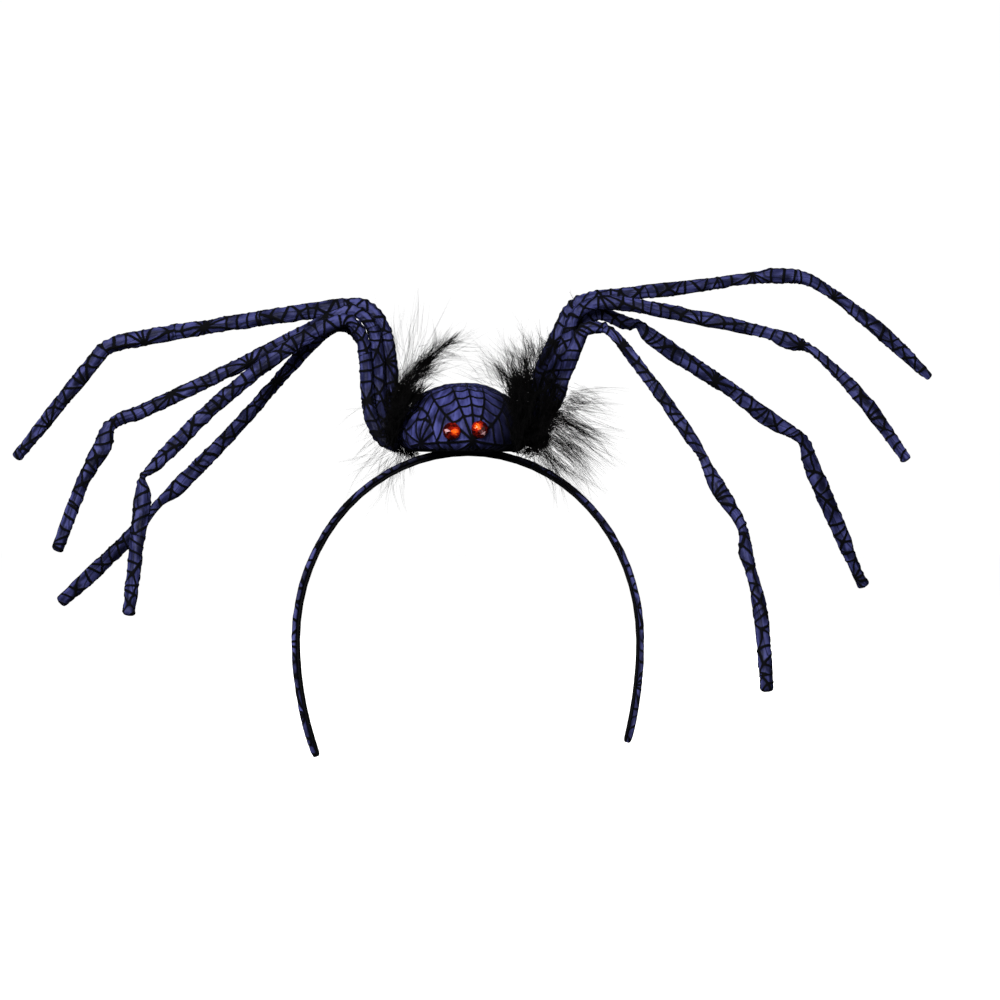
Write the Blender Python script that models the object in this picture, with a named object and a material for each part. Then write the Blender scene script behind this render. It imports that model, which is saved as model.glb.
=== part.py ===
"""Spider headband: a fabric-wrapped head band that carries a padded spider.

The origin is the underside of the band's crown, where the band sits on a head.
X runs across the head, Y runs to the back, Z runs up. Lengths are in metres.
"""
import math
from collections import namedtuple

import bmesh
import bpy
import numpy as np
from mathutils import Matrix, Vector

MM = 0.001

# Fits
PIECE_GAP = 0.3 * MM

# Head band
BAND_HALF_WIDTH = 70.4 * MM
BAND_CROWN_HEIGHT = 76.6 * MM
BAND_RADIUS_LEFT = 137.0 * MM
BAND_RADIUS_RIGHT = 165.0 * MM
BAND_DROP_LEFT = 47.2 * MM
BAND_DROP_RIGHT = 41.4 * MM
BAND_DEPTH = 12.0 * MM
BAND_THICKNESS = 1.9 * MM
BAND_END_LENGTH = 5.0 * MM
BAND_END_SHARE = 0.45
BAND_SIDES = 12
BAND_CROWN_HALF_COUNT = 16
STRIP_EDGE_POWER = 0.35
STRIP_FACE_POWER = 0.6
BAND_SIDE_SECTIONS = 7

# Lining
LINING_THICKNESS = 0.9 * MM
LINING_MARGIN = 0.8 * MM
LINING_SIDES = 6

# Spider body
BODY_HALF_WIDTH = 26.2 * MM
BODY_HALF_DEPTH = 30.0 * MM
BODY_HEIGHT = 27.2 * MM
BODY_SAG = 1.3 * MM
BODY_SHIFT = -1.8 * MM
BODY_SIDES = 28

# Eye stones
EYE_DIAMETER = 7.0 * MM
EYE_HEIGHT = 2.6 * MM
EYE_APART = 3.6 * MM
EYE_CENTRE = -0.7 * MM
EYE_RISE = 7.9 * MM
EYE_STAGGER = 0.6 * MM
EYE_FACETS = 12

# Legs
LEG_DIAMETER = 5.6 * MM
LEG_FLATNESS = 0.9
LEG_REACH = 158.0 * MM
LEG_FAN = 34.0 * MM
LEG_SIDES = 10
LEG_STEP = 6.6 * MM
LEG_TURN_STEP = math.radians(18.0)
LEG_FINE_POINTS = 180
ROOT_THICKNESS = 0.87
ROOT_RISE = 0.34 * LEG_DIAMETER
ROOT_PITCH = LEG_DIAMETER + PIECE_GAP
BUNDLE_PITCH = 0.875 * LEG_DIAMETER
BUNDLE_DEPTH_PITCH = LEG_DIAMETER / 3

# Feather tufts
TUFT_RADIUS = 3.2 * MM
TUFT_HALF_HEIGHT = 4.6 * MM
TUFT_LENGTH = 30.0 * MM

# Follow from the sizes above
BAND_STACK = LINING_THICKNESS + PIECE_GAP + BAND_THICKNESS
BODY_BASE = BAND_STACK - BODY_SAG
OUTER_LEG_PITCHES = 1.5
TUFT_DEPTH = OUTER_LEG_PITCHES * ROOT_PITCH + LEG_DIAMETER / 2 + PIECE_GAP + TUFT_RADIUS

# Clearances as shares of the gap between pieces: leg to leg, tuft to body
LEG_TO_LEG = 1.5
TUFT_TO_BODY = 1.3

# How much of a leg's radius, up and down, is held clear of the body; how far along the band its
# seat under the body is cut, as a share of the body's half width; every other lock's length
CLEARED_LIFT = 0.7
SEAT_REACH = 1.5
SHORT_LOCK_SHARE = 0.78

# How finely the curves are worked out
CURVE_SAMPLES = 24
PARTING_TURNS = 80
SMOOTHING_TURNS = 60

# The half outline of the body, from base to top: share of its height, share of its half width.
Profile = namedtuple("Profile", "height width")
BODY_PROFILE = (
    Profile(0.00, 0.76),
    Profile(0.03, 0.86),
    Profile(0.10, 0.945),
    Profile(0.22, 0.995),
    Profile(0.36, 0.985),
    Profile(0.50, 0.93),
    Profile(0.64, 0.835),
    Profile(0.76, 0.72),
    Profile(0.86, 0.57),
    Profile(0.94, 0.38),
    Profile(0.985, 0.18),
)

# A stone's rings from its back to its table: share of the radius, share of the height,
# and turn as a share of a facet.
StoneLevel = namedtuple("StoneLevel", "width height turn")
STONE_LEVELS = (
    StoneLevel(0.80, 0.00, 0.0),
    StoneLevel(1.00, 0.30, 0.0),
    StoneLevel(1.00, 0.42, 0.0),
    StoneLevel(0.80, 0.74, 0.5),
    StoneLevel(0.52, 1.00, 0.0),
)

# Places along the legs are shares of the reach: out from the body's side, up from the crown.
# The rise is the bundle of four legs on one side, which opens to its full column pitch.
Rise = namedtuple("Rise", "out up opening")
RISES = {
    "left": (
        Rise(0.037, 0.048, 0.4),
        Rise(0.053, 0.104, 0.8),
        Rise(0.056, 0.180, 1.0),
        Rise(0.061, 0.251, 1.0),
    ),
    "right": (
        Rise(0.008, 0.063, 0.2),
        Rise(0.017, 0.111, 0.6),
        Rise(0.031, 0.154, 0.9),
        Rise(0.049, 0.215, 1.0),
    ),
}

# Each leg: its side and number, its column in the bundle, its place from front to back,
# and its bends and pinches from the shoulder to the tip.
Leg = namedtuple("Leg", "side number column order bends")
Bend = namedtuple("Bend", "out up thickness")
LEGS = (
    Leg("left", 1, 1, 2, (
        Bend(0.047, 0.327, 0.87),
        Bend(0.093, 0.380, 0.90),
        Bend(0.200, 0.372, 1.15),
        Bend(0.483, 0.330, 1.06),
        Bend(0.646, 0.303, 1.18),
        Bend(0.752, 0.276, 1.08),
        Bend(0.796, 0.228, 1.10),
        Bend(0.982, 0.000, 0.80),
    )),
    Leg("left", 2, 0, 1, (
        Bend(0.075, 0.327, 0.87),
        Bend(0.121, 0.367, 0.85),
        Bend(0.199, 0.336, 0.95),
        Bend(0.402, 0.232, 1.00),
        Bend(0.640, 0.118, 1.02),
        Bend(0.733, 0.076, 0.95),
        Bend(0.750, 0.027, 1.30),
        Bend(0.790, -0.043, 1.00),
        Bend(0.862, -0.233, 0.85),
    )),
    Leg("left", 3, -1, 0, (
        Bend(0.101, 0.301, 0.87),
        Bend(0.133, 0.341, 0.85),
        Bend(0.193, 0.326, 0.95),
        Bend(0.298, 0.261, 1.05),
        Bend(0.474, 0.117, 1.08),
        Bend(0.615, -0.029, 0.90),
        Bend(0.641, -0.054, 0.45),
        Bend(0.640, -0.101, 1.20),
        Bend(0.652, -0.213, 1.05),
        Bend(0.669, -0.389, 0.90),
    )),
    Leg("left", 4, 0, 3, (
        Bend(0.091, 0.278, 0.80),
        Bend(0.125, 0.321, 0.78),
        Bend(0.171, 0.331, 0.80),
        Bend(0.245, 0.270, 0.85),
        Bend(0.435, 0.064, 0.98),
        Bend(0.585, -0.083, 1.10),
        Bend(0.627, -0.118, 0.62),
        Bend(0.709, -0.209, 1.00),
        Bend(0.809, -0.305, 1.10),
        Bend(0.885, -0.373, 0.85),
    )),
    Leg("right", 1, 1, 2, (
        Bend(0.058, 0.306, 0.87),
        Bend(0.098, 0.380, 0.87),
        Bend(0.141, 0.399, 0.90),
        Bend(0.218, 0.409, 0.95),
        Bend(0.380, 0.428, 1.00),
        Bend(0.541, 0.451, 0.80),
        Bend(0.617, 0.459, 1.10),
        Bend(0.686, 0.453, 0.95),
        Bend(0.745, 0.423, 0.75),
        Bend(0.893, 0.309, 1.08),
        Bend(1.007, 0.204, 0.60),
    )),
    Leg("right", 2, 0, 1, (
        Bend(0.083, 0.291, 0.85),
        Bend(0.101, 0.352, 0.85),
        Bend(0.141, 0.382, 0.85),
        Bend(0.196, 0.387, 0.95),
        Bend(0.438, 0.344, 1.02),
        Bend(0.597, 0.306, 0.90),
        Bend(0.644, 0.288, 1.20),
        Bend(0.689, 0.273, 0.68),
        Bend(0.819, 0.149, 1.02),
        Bend(0.933, -0.006, 0.78),
    )),
    Leg("right", 3, 0, 3, (
        Bend(0.085, 0.278, 0.80),
        Bend(0.121, 0.337, 0.80),
        Bend(0.167, 0.361, 0.85),
        Bend(0.239, 0.338, 0.90),
        Bend(0.264, 0.337, 0.62),
        Bend(0.295, 0.307, 1.10),
        Bend(0.509, 0.167, 1.08),
        Bend(0.602, 0.097, 1.20),
        Bend(0.691, 0.043, 0.80),
        Bend(0.712, -0.014, 1.15),
        Bend(0.795, -0.202, 1.12),
        Bend(0.836, -0.295, 0.75),
        Bend(0.854, -0.329, 0.90),
    )),
    Leg("right", 4, -1, 0, (
        Bend(0.103, 0.273, 0.95),
        Bend(0.128, 0.319, 0.90),
        Bend(0.161, 0.325, 0.80),
        Bend(0.189, 0.316, 0.60),
        Bend(0.236, 0.262, 0.75),
        Bend(0.395, 0.039, 0.88),
        Bend(0.416, 0.004, 0.64),
        Bend(0.463, -0.089, 1.15),
        Bend(0.518, -0.179, 0.68),
        Bend(0.524, -0.235, 1.00),
        Bend(0.539, -0.293, 0.80),
        Bend(0.560, -0.387, 1.02),
        Bend(0.573, -0.577, 0.95),
    )),
)

# A leg's rounded tip beyond its last bend: shares of the radius there.
TipSection = namedtuple("TipSection", "onward radius")
TIP_SECTIONS = (TipSection(0.30, 0.80), TipSection(0.48, 0.45))

# Feather tufts: in front of the legs' roots (-1) or behind them (1), the head's height as a
# share of the body's, the fan of its locks in degrees from +X towards +Z, how far they part in
# depth in degrees, their length and width as shares of the tuft's, and how far they curl in
# degrees.
Tuft = namedtuple("Tuft", "name side row up first last locks lean length width curl")
TUFTS = (
    Tuft("feather_left_high", "left", -1, 0.66, 46.0, 98.0, 6, 12.0, 1.15, 1.0, 10.0),
    Tuft("feather_left_low", "left", 1, 0.22, 160.0, 236.0, 7, 9.0, 0.90, 0.6, 14.0),
    Tuft("feather_right_high", "right", -1, 0.62, 52.0, 126.0, 7, 12.0, 0.88, 1.1, 8.0),
    Tuft("feather_right_low", "right", -1, 0.28, -54.0, 36.0, 8, 9.0, 1.12, 0.9, -10.0),
)

# A lock from its foot to its tip: share of its length, share of its foot's width.
LockSection = namedtuple("LockSection", "along width")
LOCK_SECTIONS = (
    LockSection(0.18, 1.15),
    LockSection(0.42, 1.50),
    LockSection(0.66, 1.20),
    LockSection(0.86, 0.70),
    LockSection(1.00, 0.15),
)

# Base colours of the materials, with roughness and metallic value.
Finish = namedtuple("Finish", "colour roughness metallic")
PRINTED_SATIN = Finish((0.075, 0.078, 0.30, 1.0), 0.45, 0.0)
BLACK_LINING = Finish((0.012, 0.012, 0.014, 1.0), 0.8, 0.0)
ORANGE_STONE = Finish((0.80, 0.09, 0.02, 1.0), 0.08, 0.0)
BLACK_FEATHER = Finish((0.008, 0.008, 0.009, 1.0), 0.7, 0.0)


def clear_scene():
    for item in list(bpy.data.objects):
        bpy.data.objects.remove(item, do_unlink=True)


def add_object(name, mesh, finish, smooth_angle=40.0):
    """Link a mesh as a named object with a material of its own."""
    material = bpy.data.materials.new(name + "_finish")
    material.use_nodes = True
    shader = material.node_tree.nodes["Principled BSDF"]
    shader.inputs["Base Color"].default_value = finish.colour
    shader.inputs["Roughness"].default_value = finish.roughness
    shader.inputs["Metallic"].default_value = finish.metallic
    mesh.materials.append(material)
    mesh.shade_smooth()
    mesh.set_sharp_from_angle(angle=math.radians(smooth_angle))
    item = bpy.data.objects.new(name, mesh)
    bpy.context.scene.collection.objects.link(item)
    return item


def mesh_from_rings(name, rings):
    """Skin a row of closed rings of equal size and close both ends with a flat face."""
    sides = len(rings[0])
    points = [point for ring in rings for point in ring]
    faces = []
    for row in range(len(rings) - 1):
        for side in range(sides):
            after = (side + 1) % sides
            low = row * sides
            high = low + sides
            faces.append((low + side, low + after, high + after, high + side))
    faces.append(tuple(reversed(range(sides))))
    faces.append(tuple((len(rings) - 1) * sides + side for side in range(sides)))
    mesh = bpy.data.meshes.new(name)
    mesh.from_pydata([tuple(point) for point in points], [], faces)
    faces_outward(mesh)
    return mesh


def faces_outward(mesh):
    work = bmesh.new()
    work.from_mesh(mesh)
    bmesh.ops.recalc_face_normals(work, faces=work.faces)
    if work.calc_volume(signed=True) < 0.0:
        bmesh.ops.reverse_faces(work, faces=work.faces)
    work.to_mesh(mesh)
    work.free()


def smooth_path(points, count):
    """Read evenly spaced rows from a centripetal curve through the rows of a table."""
    knots = np.asarray(points, dtype=float)
    knots = np.vstack([2 * knots[0] - knots[1], knots, 2 * knots[-1] - knots[-2]])
    spans = np.sqrt(np.linalg.norm(np.diff(knots[:, :3], axis=0), axis=1))
    times = np.concatenate([[0.0], np.cumsum(spans)])
    rows = []
    for index in range(1, len(knots) - 2):
        t0, t1, t2, t3 = times[index - 1:index + 3]
        p0, p1, p2, p3 = knots[index - 1:index + 3]
        for t in np.linspace(t1, t2, CURVE_SAMPLES, endpoint=False):
            a1 = p0 + (p1 - p0) * (t - t0) / (t1 - t0)
            a2 = p1 + (p2 - p1) * (t - t1) / (t2 - t1)
            a3 = p2 + (p3 - p2) * (t - t2) / (t3 - t2)
            b1 = a1 + (a2 - a1) * (t - t0) / (t2 - t0)
            b2 = a2 + (a3 - a2) * (t - t1) / (t3 - t1)
            rows.append(b1 + (b2 - b1) * (t - t1) / (t2 - t1))
    rows.append(knots[-2])
    rows = np.array(rows)
    return resample(rows, arc_lengths(rows), count)


def arc_lengths(rows):
    steps = np.linalg.norm(np.diff(rows[:, :3], axis=0), axis=1)
    return np.concatenate([[0.0], np.cumsum(steps)])


def resample(rows, measure, count):
    """Read rows at even steps of a growing measure."""
    even = np.linspace(0.0, measure[-1], count)
    return np.column_stack([np.interp(even, measure, column) for column in rows.T])


# Head band

def band_line(inset):
    """The band's line at a depth below its outer face: rows of x, z and the outward normal."""
    widest = BAND_STACK - BAND_CROWN_HEIGHT
    rows = []
    halves = ((-1, BAND_DROP_LEFT, BAND_RADIUS_LEFT), (1, BAND_DROP_RIGHT, BAND_RADIUS_RIGHT))
    for side, drop, radius in halves:
        half = []
        for step in range(BAND_CROWN_HALF_COUNT):
            turn = 0.5 * math.pi * step / BAND_CROWN_HALF_COUNT
            place = Vector((BAND_HALF_WIDTH * math.sin(turn), BAND_CROWN_HEIGHT * math.cos(turn)))
            normal = Vector((place.x / BAND_HALF_WIDTH**2, place.y / BAND_CROWN_HEIGHT**2))
            half.append((place, normal.normalized()))
        end_turn = math.asin(drop / radius)
        centre = Vector((BAND_HALF_WIDTH - radius, 0.0))
        for step in range(BAND_SIDE_SECTIONS + 1):
            turn = -end_turn * step / BAND_SIDE_SECTIONS
            normal = Vector((math.cos(turn), math.sin(turn)))
            half.append((centre + normal * radius, normal))
        half = [(place - normal * inset, normal) for place, normal in half]
        half = [(side * p.x, p.y + widest, side * n.x, n.y) for p, n in half]
        rows = half[::-1] if side < 0 else rows[:-1] + half
    return rows


def end_taper(rows, length):
    """A share for each row that rounds the strip off within a length of each end."""
    places = np.array([(x, z, 0.0) for x, z, _, _ in rows])
    along = arc_lengths(places)
    nearest = np.minimum(along, along[-1] - along)
    share = np.clip(nearest / length, 0.0, 1.0)
    return BAND_END_SHARE + (1.0 - BAND_END_SHARE) * np.sqrt(share * (2.0 - share))


def squared(value, power):
    """Push a sine or cosine towards a box's edge: the lower the power, the squarer."""
    return math.copysign(abs(value) ** power, value)


def strip_rings(depth, thickness, inset, sides, margin=0.0):
    """Rings of a flat strip with rounded edges along the band."""
    rows = band_line(inset + thickness / 2)
    tapers = end_taper(rows, BAND_END_LENGTH)
    rings = []
    for (x, z, nx, nz), taper in zip(rows, tapers):
        ring = []
        for side in range(sides):
            turn = 2.0 * math.pi * (side + 0.5) / sides
            y = squared(math.cos(turn), STRIP_EDGE_POWER) * (depth / 2 - margin) * taper
            lift = squared(math.sin(turn), STRIP_FACE_POWER) * thickness / 2
            ring.append((x + nx * lift, y, z + nz * lift))
        rings.append(ring)
    return rings


def build_band():
    rings = strip_rings(BAND_DEPTH, BAND_THICKNESS, 0.0, BAND_SIDES)
    add_object("headband", mesh_from_rings("headband", rings), PRINTED_SATIN)
    inset = BAND_THICKNESS + PIECE_GAP
    rings = strip_rings(BAND_DEPTH, LINING_THICKNESS, inset, LINING_SIDES, LINING_MARGIN)
    add_object("band_lining", mesh_from_rings("band_lining", rings), BLACK_LINING)


# Spider body

def body_width_at(height):
    """The body's half width at a height above the crown."""
    share = (height - BODY_BASE) / BODY_HEIGHT
    heights = [row.height for row in BODY_PROFILE] + [1.0]
    widths = [row.width for row in BODY_PROFILE] + [0.0]
    return BODY_HALF_WIDTH * float(np.interp(share, heights, widths))


def body_side_at(depth, height):
    """How far the body's side wall stands out from its middle, at a depth and a height."""
    half_width = body_width_at(height)
    half_depth = BODY_HALF_DEPTH * half_width / BODY_HALF_WIDTH
    if abs(depth) >= half_depth:
        return 0.0
    return half_width * math.sqrt(1.0 - (depth / half_depth) ** 2)


def build_body():
    rings = []
    for row in BODY_PROFILE:
        ring = []
        for side in range(BODY_SIDES):
            turn = 2.0 * math.pi * side / BODY_SIDES
            x = BODY_SHIFT + BODY_HALF_WIDTH * row.width * math.cos(turn)
            y = BODY_HALF_DEPTH * row.width * math.sin(turn)
            ring.append((x, y, BODY_BASE + BODY_HEIGHT * row.height))
        rings.append(ring)
    mesh = mesh_from_rings("spider_body", rings)
    add_crown_point(mesh)
    body = add_object("spider_body", mesh, PRINTED_SATIN)
    seat = body.modifiers.new("seat", "BOOLEAN")
    seat.operation = "DIFFERENCE"
    seat.object = band_seat_cutter()


def add_crown_point(mesh):
    """Raise the flat end of the last ring to a low point at the body's full height."""
    work = bmesh.new()
    work.from_mesh(mesh)
    top = max(work.faces, key=lambda face: face.calc_center_median().z)
    result = bmesh.ops.poke(work, faces=[top])
    result["verts"][0].co.z = BODY_BASE + BODY_HEIGHT
    work.to_mesh(mesh)
    work.free()


def band_seat_cutter():
    """A block under the band's outer face that cuts the body's seat with the fit gap."""
    half_depth = BAND_DEPTH / 2 + PIECE_GAP
    outline = [(x, z) for x, z, _, _ in band_line(-PIECE_GAP) if abs(x) < SEAT_REACH * BODY_HALF_WIDTH]
    floor = BODY_BASE - BODY_HEIGHT
    outline = [(outline[0][0], floor)] + outline + [(outline[-1][0], floor)]
    rings = [[(x, y, z) for x, z in outline] for y in (-half_depth, half_depth)]
    cutter = bpy.data.objects.new("band_seat_cutter", mesh_from_rings("band_seat_cutter", rings))
    bpy.context.scene.collection.objects.link(cutter)
    cutter.hide_render = True
    cutter.display_type = "WIRE"
    return cutter


# Eye stones

def eye_placement(x, z):
    """The body's front surface point and its outward normal at a place in front view."""
    def front(px, pz):
        half_width = body_width_at(pz)
        share = (px - BODY_SHIFT) / half_width
        return -BODY_HALF_DEPTH * half_width / BODY_HALF_WIDTH * math.sqrt(1.0 - share**2)

    step = EYE_DIAMETER / 2
    slope_x = (front(x + step, z) - front(x - step, z)) / (2 * step)
    slope_z = (front(x, z + step) - front(x, z - step)) / (2 * step)
    normal = Vector((slope_x, -1.0, slope_z)).normalized()
    return Vector((x, front(x, z), z)), normal


def build_eye(name, x, z):
    """A round brilliant with a flat back, a girdle, a crown and a table."""
    place, normal = eye_placement(x, z)
    radius = EYE_DIAMETER / 2
    rings = []
    for level in STONE_LEVELS:
        ring = []
        for facet in range(EYE_FACETS):
            angle = 2.0 * math.pi * (facet + level.turn) / EYE_FACETS
            out = level.width * radius
            ring.append((math.cos(angle) * out, math.sin(angle) * out, level.height * EYE_HEIGHT))
        rings.append(ring)
    eye = add_object(name, mesh_from_rings(name, rings), ORANGE_STONE, smooth_angle=5.0)
    eye.rotation_mode = "QUATERNION"
    eye.rotation_quaternion = normal.to_track_quat("Z", "Y")
    eye.location = place + normal * PIECE_GAP


def build_eyes():
    height = BODY_BASE + EYE_RISE
    aside = (EYE_DIAMETER + EYE_APART) / 2
    build_eye("eye_left", EYE_CENTRE - aside, height - EYE_STAGGER / 2)
    build_eye("eye_right", EYE_CENTRE + aside, height + EYE_STAGGER / 2)


# Legs

def side_sign(side):
    return -1.0 if side == "left" else 1.0


def leg_place(side, out, up):
    """A place in front view from its shares of the reach."""
    start = BODY_HALF_WIDTH + PIECE_GAP
    return side_sign(side) * (start + out * LEG_REACH), up * LEG_REACH


def depth_share(leg):
    """The leg's place from front to back as a number of pitches from the middle."""
    return leg.order - OUTER_LEG_PITCHES


def root_row(leg, toward):
    """The leg's root: its end faces the body's side wall across the fit gap."""
    radius = ROOT_THICKNESS * LEG_DIAMETER / 2
    depth = depth_share(leg) * ROOT_PITCH
    height = BODY_BASE + ROOT_RISE
    sign = side_sign(leg.side)
    reach = max(
        body_side_at(depth + shift, height + lift)
        for shift in (-radius, 0.0, radius)
        for lift in (0.0, radius)
    )
    wall = BODY_SHIFT + sign * reach
    run = Vector((toward[0] - wall, toward[1] - height))
    tilt = abs(run.y) / run.length
    return (wall + sign * (PIECE_GAP + radius * tilt), depth, height, radius)


def bundle_rows(leg):
    """The leg's rows up the bundle, where its column opens and its depth closes up."""
    sign = side_sign(leg.side)
    rises = RISES[leg.side]
    places = [Vector(leg_place(leg.side, rise.out, rise.up)) for rise in rises]
    rows = []
    for index, (place, rise) in enumerate(zip(places, rises)):
        before = places[max(index - 1, 0)]
        after = places[min(index + 1, len(places) - 1)]
        run = (after - before).normalized()
        inward = Vector((run.y, -run.x)) * -sign
        spot = place + inward * leg.column * BUNDLE_PITCH * rise.opening
        closed = (index + 1) / len(places)
        pitch = ROOT_PITCH + (BUNDLE_DEPTH_PITCH - ROOT_PITCH) * closed
        rows.append((spot.x, depth_share(leg) * pitch, spot.y, ROOT_THICKNESS * LEG_DIAMETER / 2))
    return rows


def leg_rows(leg):
    """The rows of one leg from root to tip: x, y, z and radius."""
    rows = bundle_rows(leg)
    rows.insert(0, root_row(leg, (rows[0][0], rows[0][2])))
    spots = [leg_place(leg.side, bend.out, bend.up) for bend in leg.bends]
    runs = [math.dist(a, b) for a, b in zip(spots, spots[1:])]
    fan = depth_share(leg) / OUTER_LEG_PITCHES * LEG_FAN
    passed = 0.0
    for (x, z), bend, run in zip(spots, leg.bends, [0.0] + runs):
        passed += run
        depth = depth_share(leg) * BUNDLE_DEPTH_PITCH + fan * passed / sum(runs)
        rows.append((x, depth, z, bend.thickness * LEG_DIAMETER / 2))
    return rows


def clear_body(path, sign):
    """Keep a leg's side off the body's wall by the fit gap."""
    run = np.gradient(path[:, :3], axis=0)
    run /= np.linalg.norm(run, axis=1)[:, None]
    for row, ahead in zip(path, run):
        reach = max(body_side_at(row[1], row[2] + lift * row[3]) for lift in (-CLEARED_LIFT, 0.0, CLEARED_LIFT))
        if reach > 0.0:
            aside = row[3] * math.sqrt(1.0 - ahead[0] ** 2)
            least = sign * BODY_SHIFT + reach + PIECE_GAP + aside
            row[0] = sign * max(sign * row[0], least)


def part_legs(paths):
    """Move the legs of one side apart in depth until each pair clears the fit gap.

    The paths come in their order from front to back, so the front view stays as it is.
    """
    for turn in range(PARTING_TURNS):
        for ahead in range(len(paths)):
            for behind in range(ahead + 1, len(paths)):
                push_apart(paths[ahead], paths[behind])
        if turn < SMOOTHING_TURNS:
            for path in paths:
                path[1:-1, 1] = 0.5 * path[1:-1, 1] + 0.25 * (path[:-2, 1] + path[2:, 1])


def push_apart(front, back):
    flat_x = front[:, None, 0] - back[None, :, 0]
    flat_z = front[:, None, 2] - back[None, :, 2]
    needed = front[:, None, 3] + back[None, :, 3] + LEG_TO_LEG * PIECE_GAP
    room = needed**2 - flat_x**2 - flat_z**2
    short = np.sqrt(np.maximum(room, 0.0)) - (back[None, :, 1] - front[:, None, 1])
    short = np.where(room > 0.0, np.maximum(short, 0.0), 0.0)
    front[:, 1] -= 0.5 * short.max(axis=1)
    back[:, 1] += 0.5 * short.max(axis=0)


def leg_rings(path):
    """Rings of a slightly flattened tube, closer together where the leg bends."""
    run = np.gradient(path[:, :3], axis=0)
    run /= np.linalg.norm(run, axis=1)[:, None]
    turns = np.arccos(np.clip((run[1:] * run[:-1]).sum(axis=1), -1.0, 1.0))
    steps = np.linalg.norm(np.diff(path[:, :3], axis=0), axis=1)
    cost = np.concatenate([[0.0], np.cumsum(steps / LEG_STEP + turns / LEG_TURN_STEP)])
    rows = resample(path, cost, int(math.ceil(cost[-1])) + 1)
    rings = []
    for index, row in enumerate(rows):
        before = rows[max(index - 1, 0)]
        after = rows[min(index + 1, len(rows) - 1)]
        ahead = Vector(after[:3] - before[:3]).normalized()
        rings.append(leg_ring(Vector(row[:3]), ahead, row[3]))
    tip = rows[-1]
    ahead = Vector(tip[:3] - rows[-2][:3]).normalized()
    for section in TIP_SECTIONS:
        centre = Vector(tip[:3]) + ahead * tip[3] * section.onward
        rings.append(leg_ring(centre, ahead, tip[3] * section.radius))
    return rings


def leg_ring(centre, ahead, radius):
    across = ahead.cross(Vector((0.0, 1.0, 0.0))).normalized()
    deep = across.cross(ahead)
    ring = []
    for side in range(LEG_SIDES):
        turn = 2.0 * math.pi * side / LEG_SIDES
        spot = across * math.cos(turn) + deep * math.sin(turn) * LEG_FLATNESS
        ring.append(centre + spot * radius)
    return ring


def build_legs():
    for side in ("left", "right"):
        legs = sorted((leg for leg in LEGS if leg.side == side), key=lambda leg: leg.order)
        paths = [smooth_path(leg_rows(leg), LEG_FINE_POINTS) for leg in legs]
        part_legs(paths)
        for path in paths:
            clear_body(path, side_sign(side))
        for leg, path in zip(legs, paths):
            name = f"leg_{side}_{leg.number}"
            add_object(name, mesh_from_rings(name, leg_rings(path)), PRINTED_SATIN)


# Feather tufts

def tuft_place(tuft, head_points):
    """Beside the body's wall, so that the head's nearest point keeps the fit gap."""
    depth = tuft.row * TUFT_DEPTH
    height = BODY_BASE + tuft.up * BODY_HEIGHT
    sign = side_sign(tuft.side)
    reach = max(
        body_side_at(depth + point.y, height + point.z) - sign * point.x for point in head_points
    )
    # the wall slopes here, so the gap across is a little wider than the gap square to the wall
    across = sign * (reach + TUFT_TO_BODY * PIECE_GAP)
    return Vector((BODY_SHIFT + across, depth, height))


def tuft_headings(tuft):
    """The heading and length of each lock, fanned in front view and parted in depth by turns."""
    for lock in range(tuft.locks):
        share = lock / (tuft.locks - 1)
        heading = math.radians(tuft.first + (tuft.last - tuft.first) * share)
        lean = math.radians(tuft.lean if lock % 2 else -tuft.lean)
        flat = Vector((math.cos(heading), 0.0, math.sin(heading)))
        short = SHORT_LOCK_SHARE if lock % 2 else 1.0
        length = short * tuft.length * TUFT_LENGTH
        yield flat * math.cos(lean) + Vector((0.0, -math.sin(lean), 0.0)), length


def grow_lock(work, face, heading, length, tuft):
    """Draw one face of the head out into a curved lock that narrows to its tip."""
    ring = list(face.verts)
    place = face.calc_center_median()
    spread = [vert.co - place for vert in ring]
    work.faces.remove(face)
    last = 0.0
    for section in LOCK_SECTIONS:
        turn = Matrix.Rotation(-math.radians(tuft.curl) * section.along, 3, "Y")
        place = place + (turn @ heading) * length * (section.along - last)
        last = section.along
        width = section.width * tuft.width
        after = [work.verts.new(place + turn @ offset * width) for offset in spread]
        for side in range(len(ring)):
            onward = (side + 1) % len(ring)
            work.faces.new((ring[side], ring[onward], after[onward], after[side]))
        ring = after
    work.faces.new(ring)


def build_tuft(tuft):
    work = bmesh.new()
    bmesh.ops.create_icosphere(work, subdivisions=2, radius=TUFT_RADIUS)
    bmesh.ops.scale(work, vec=(1.0, 1.0, TUFT_HALF_HEIGHT / TUFT_RADIUS), verts=work.verts)
    place = tuft_place(tuft, [vert.co.copy() for vert in work.verts])
    faces = list(work.faces)
    for heading, length in tuft_headings(tuft):
        face = max(faces, key=lambda item: item.calc_center_median().normalized().dot(heading))
        faces.remove(face)
        grow_lock(work, face, heading, length, tuft)
    bmesh.ops.recalc_face_normals(work, faces=work.faces)
    mesh = bpy.data.meshes.new(tuft.name)
    work.to_mesh(mesh)
    work.free()
    add_object(tuft.name, mesh, BLACK_FEATHER).location = place


def main():
    clear_scene()
    build_band()
    build_body()
    build_eyes()
    build_legs()
    for tuft in TUFTS:
        build_tuft(tuft)


main()
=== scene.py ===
"""Looks of the spider headband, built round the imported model. Lengths are in metres.

X runs across the head, Y runs to the back, Z runs up from the band's crown.
"""
import math
import random
from collections import namedtuple

import bpy
import numpy as np
from mathutils import Matrix, Vector, noise


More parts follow.
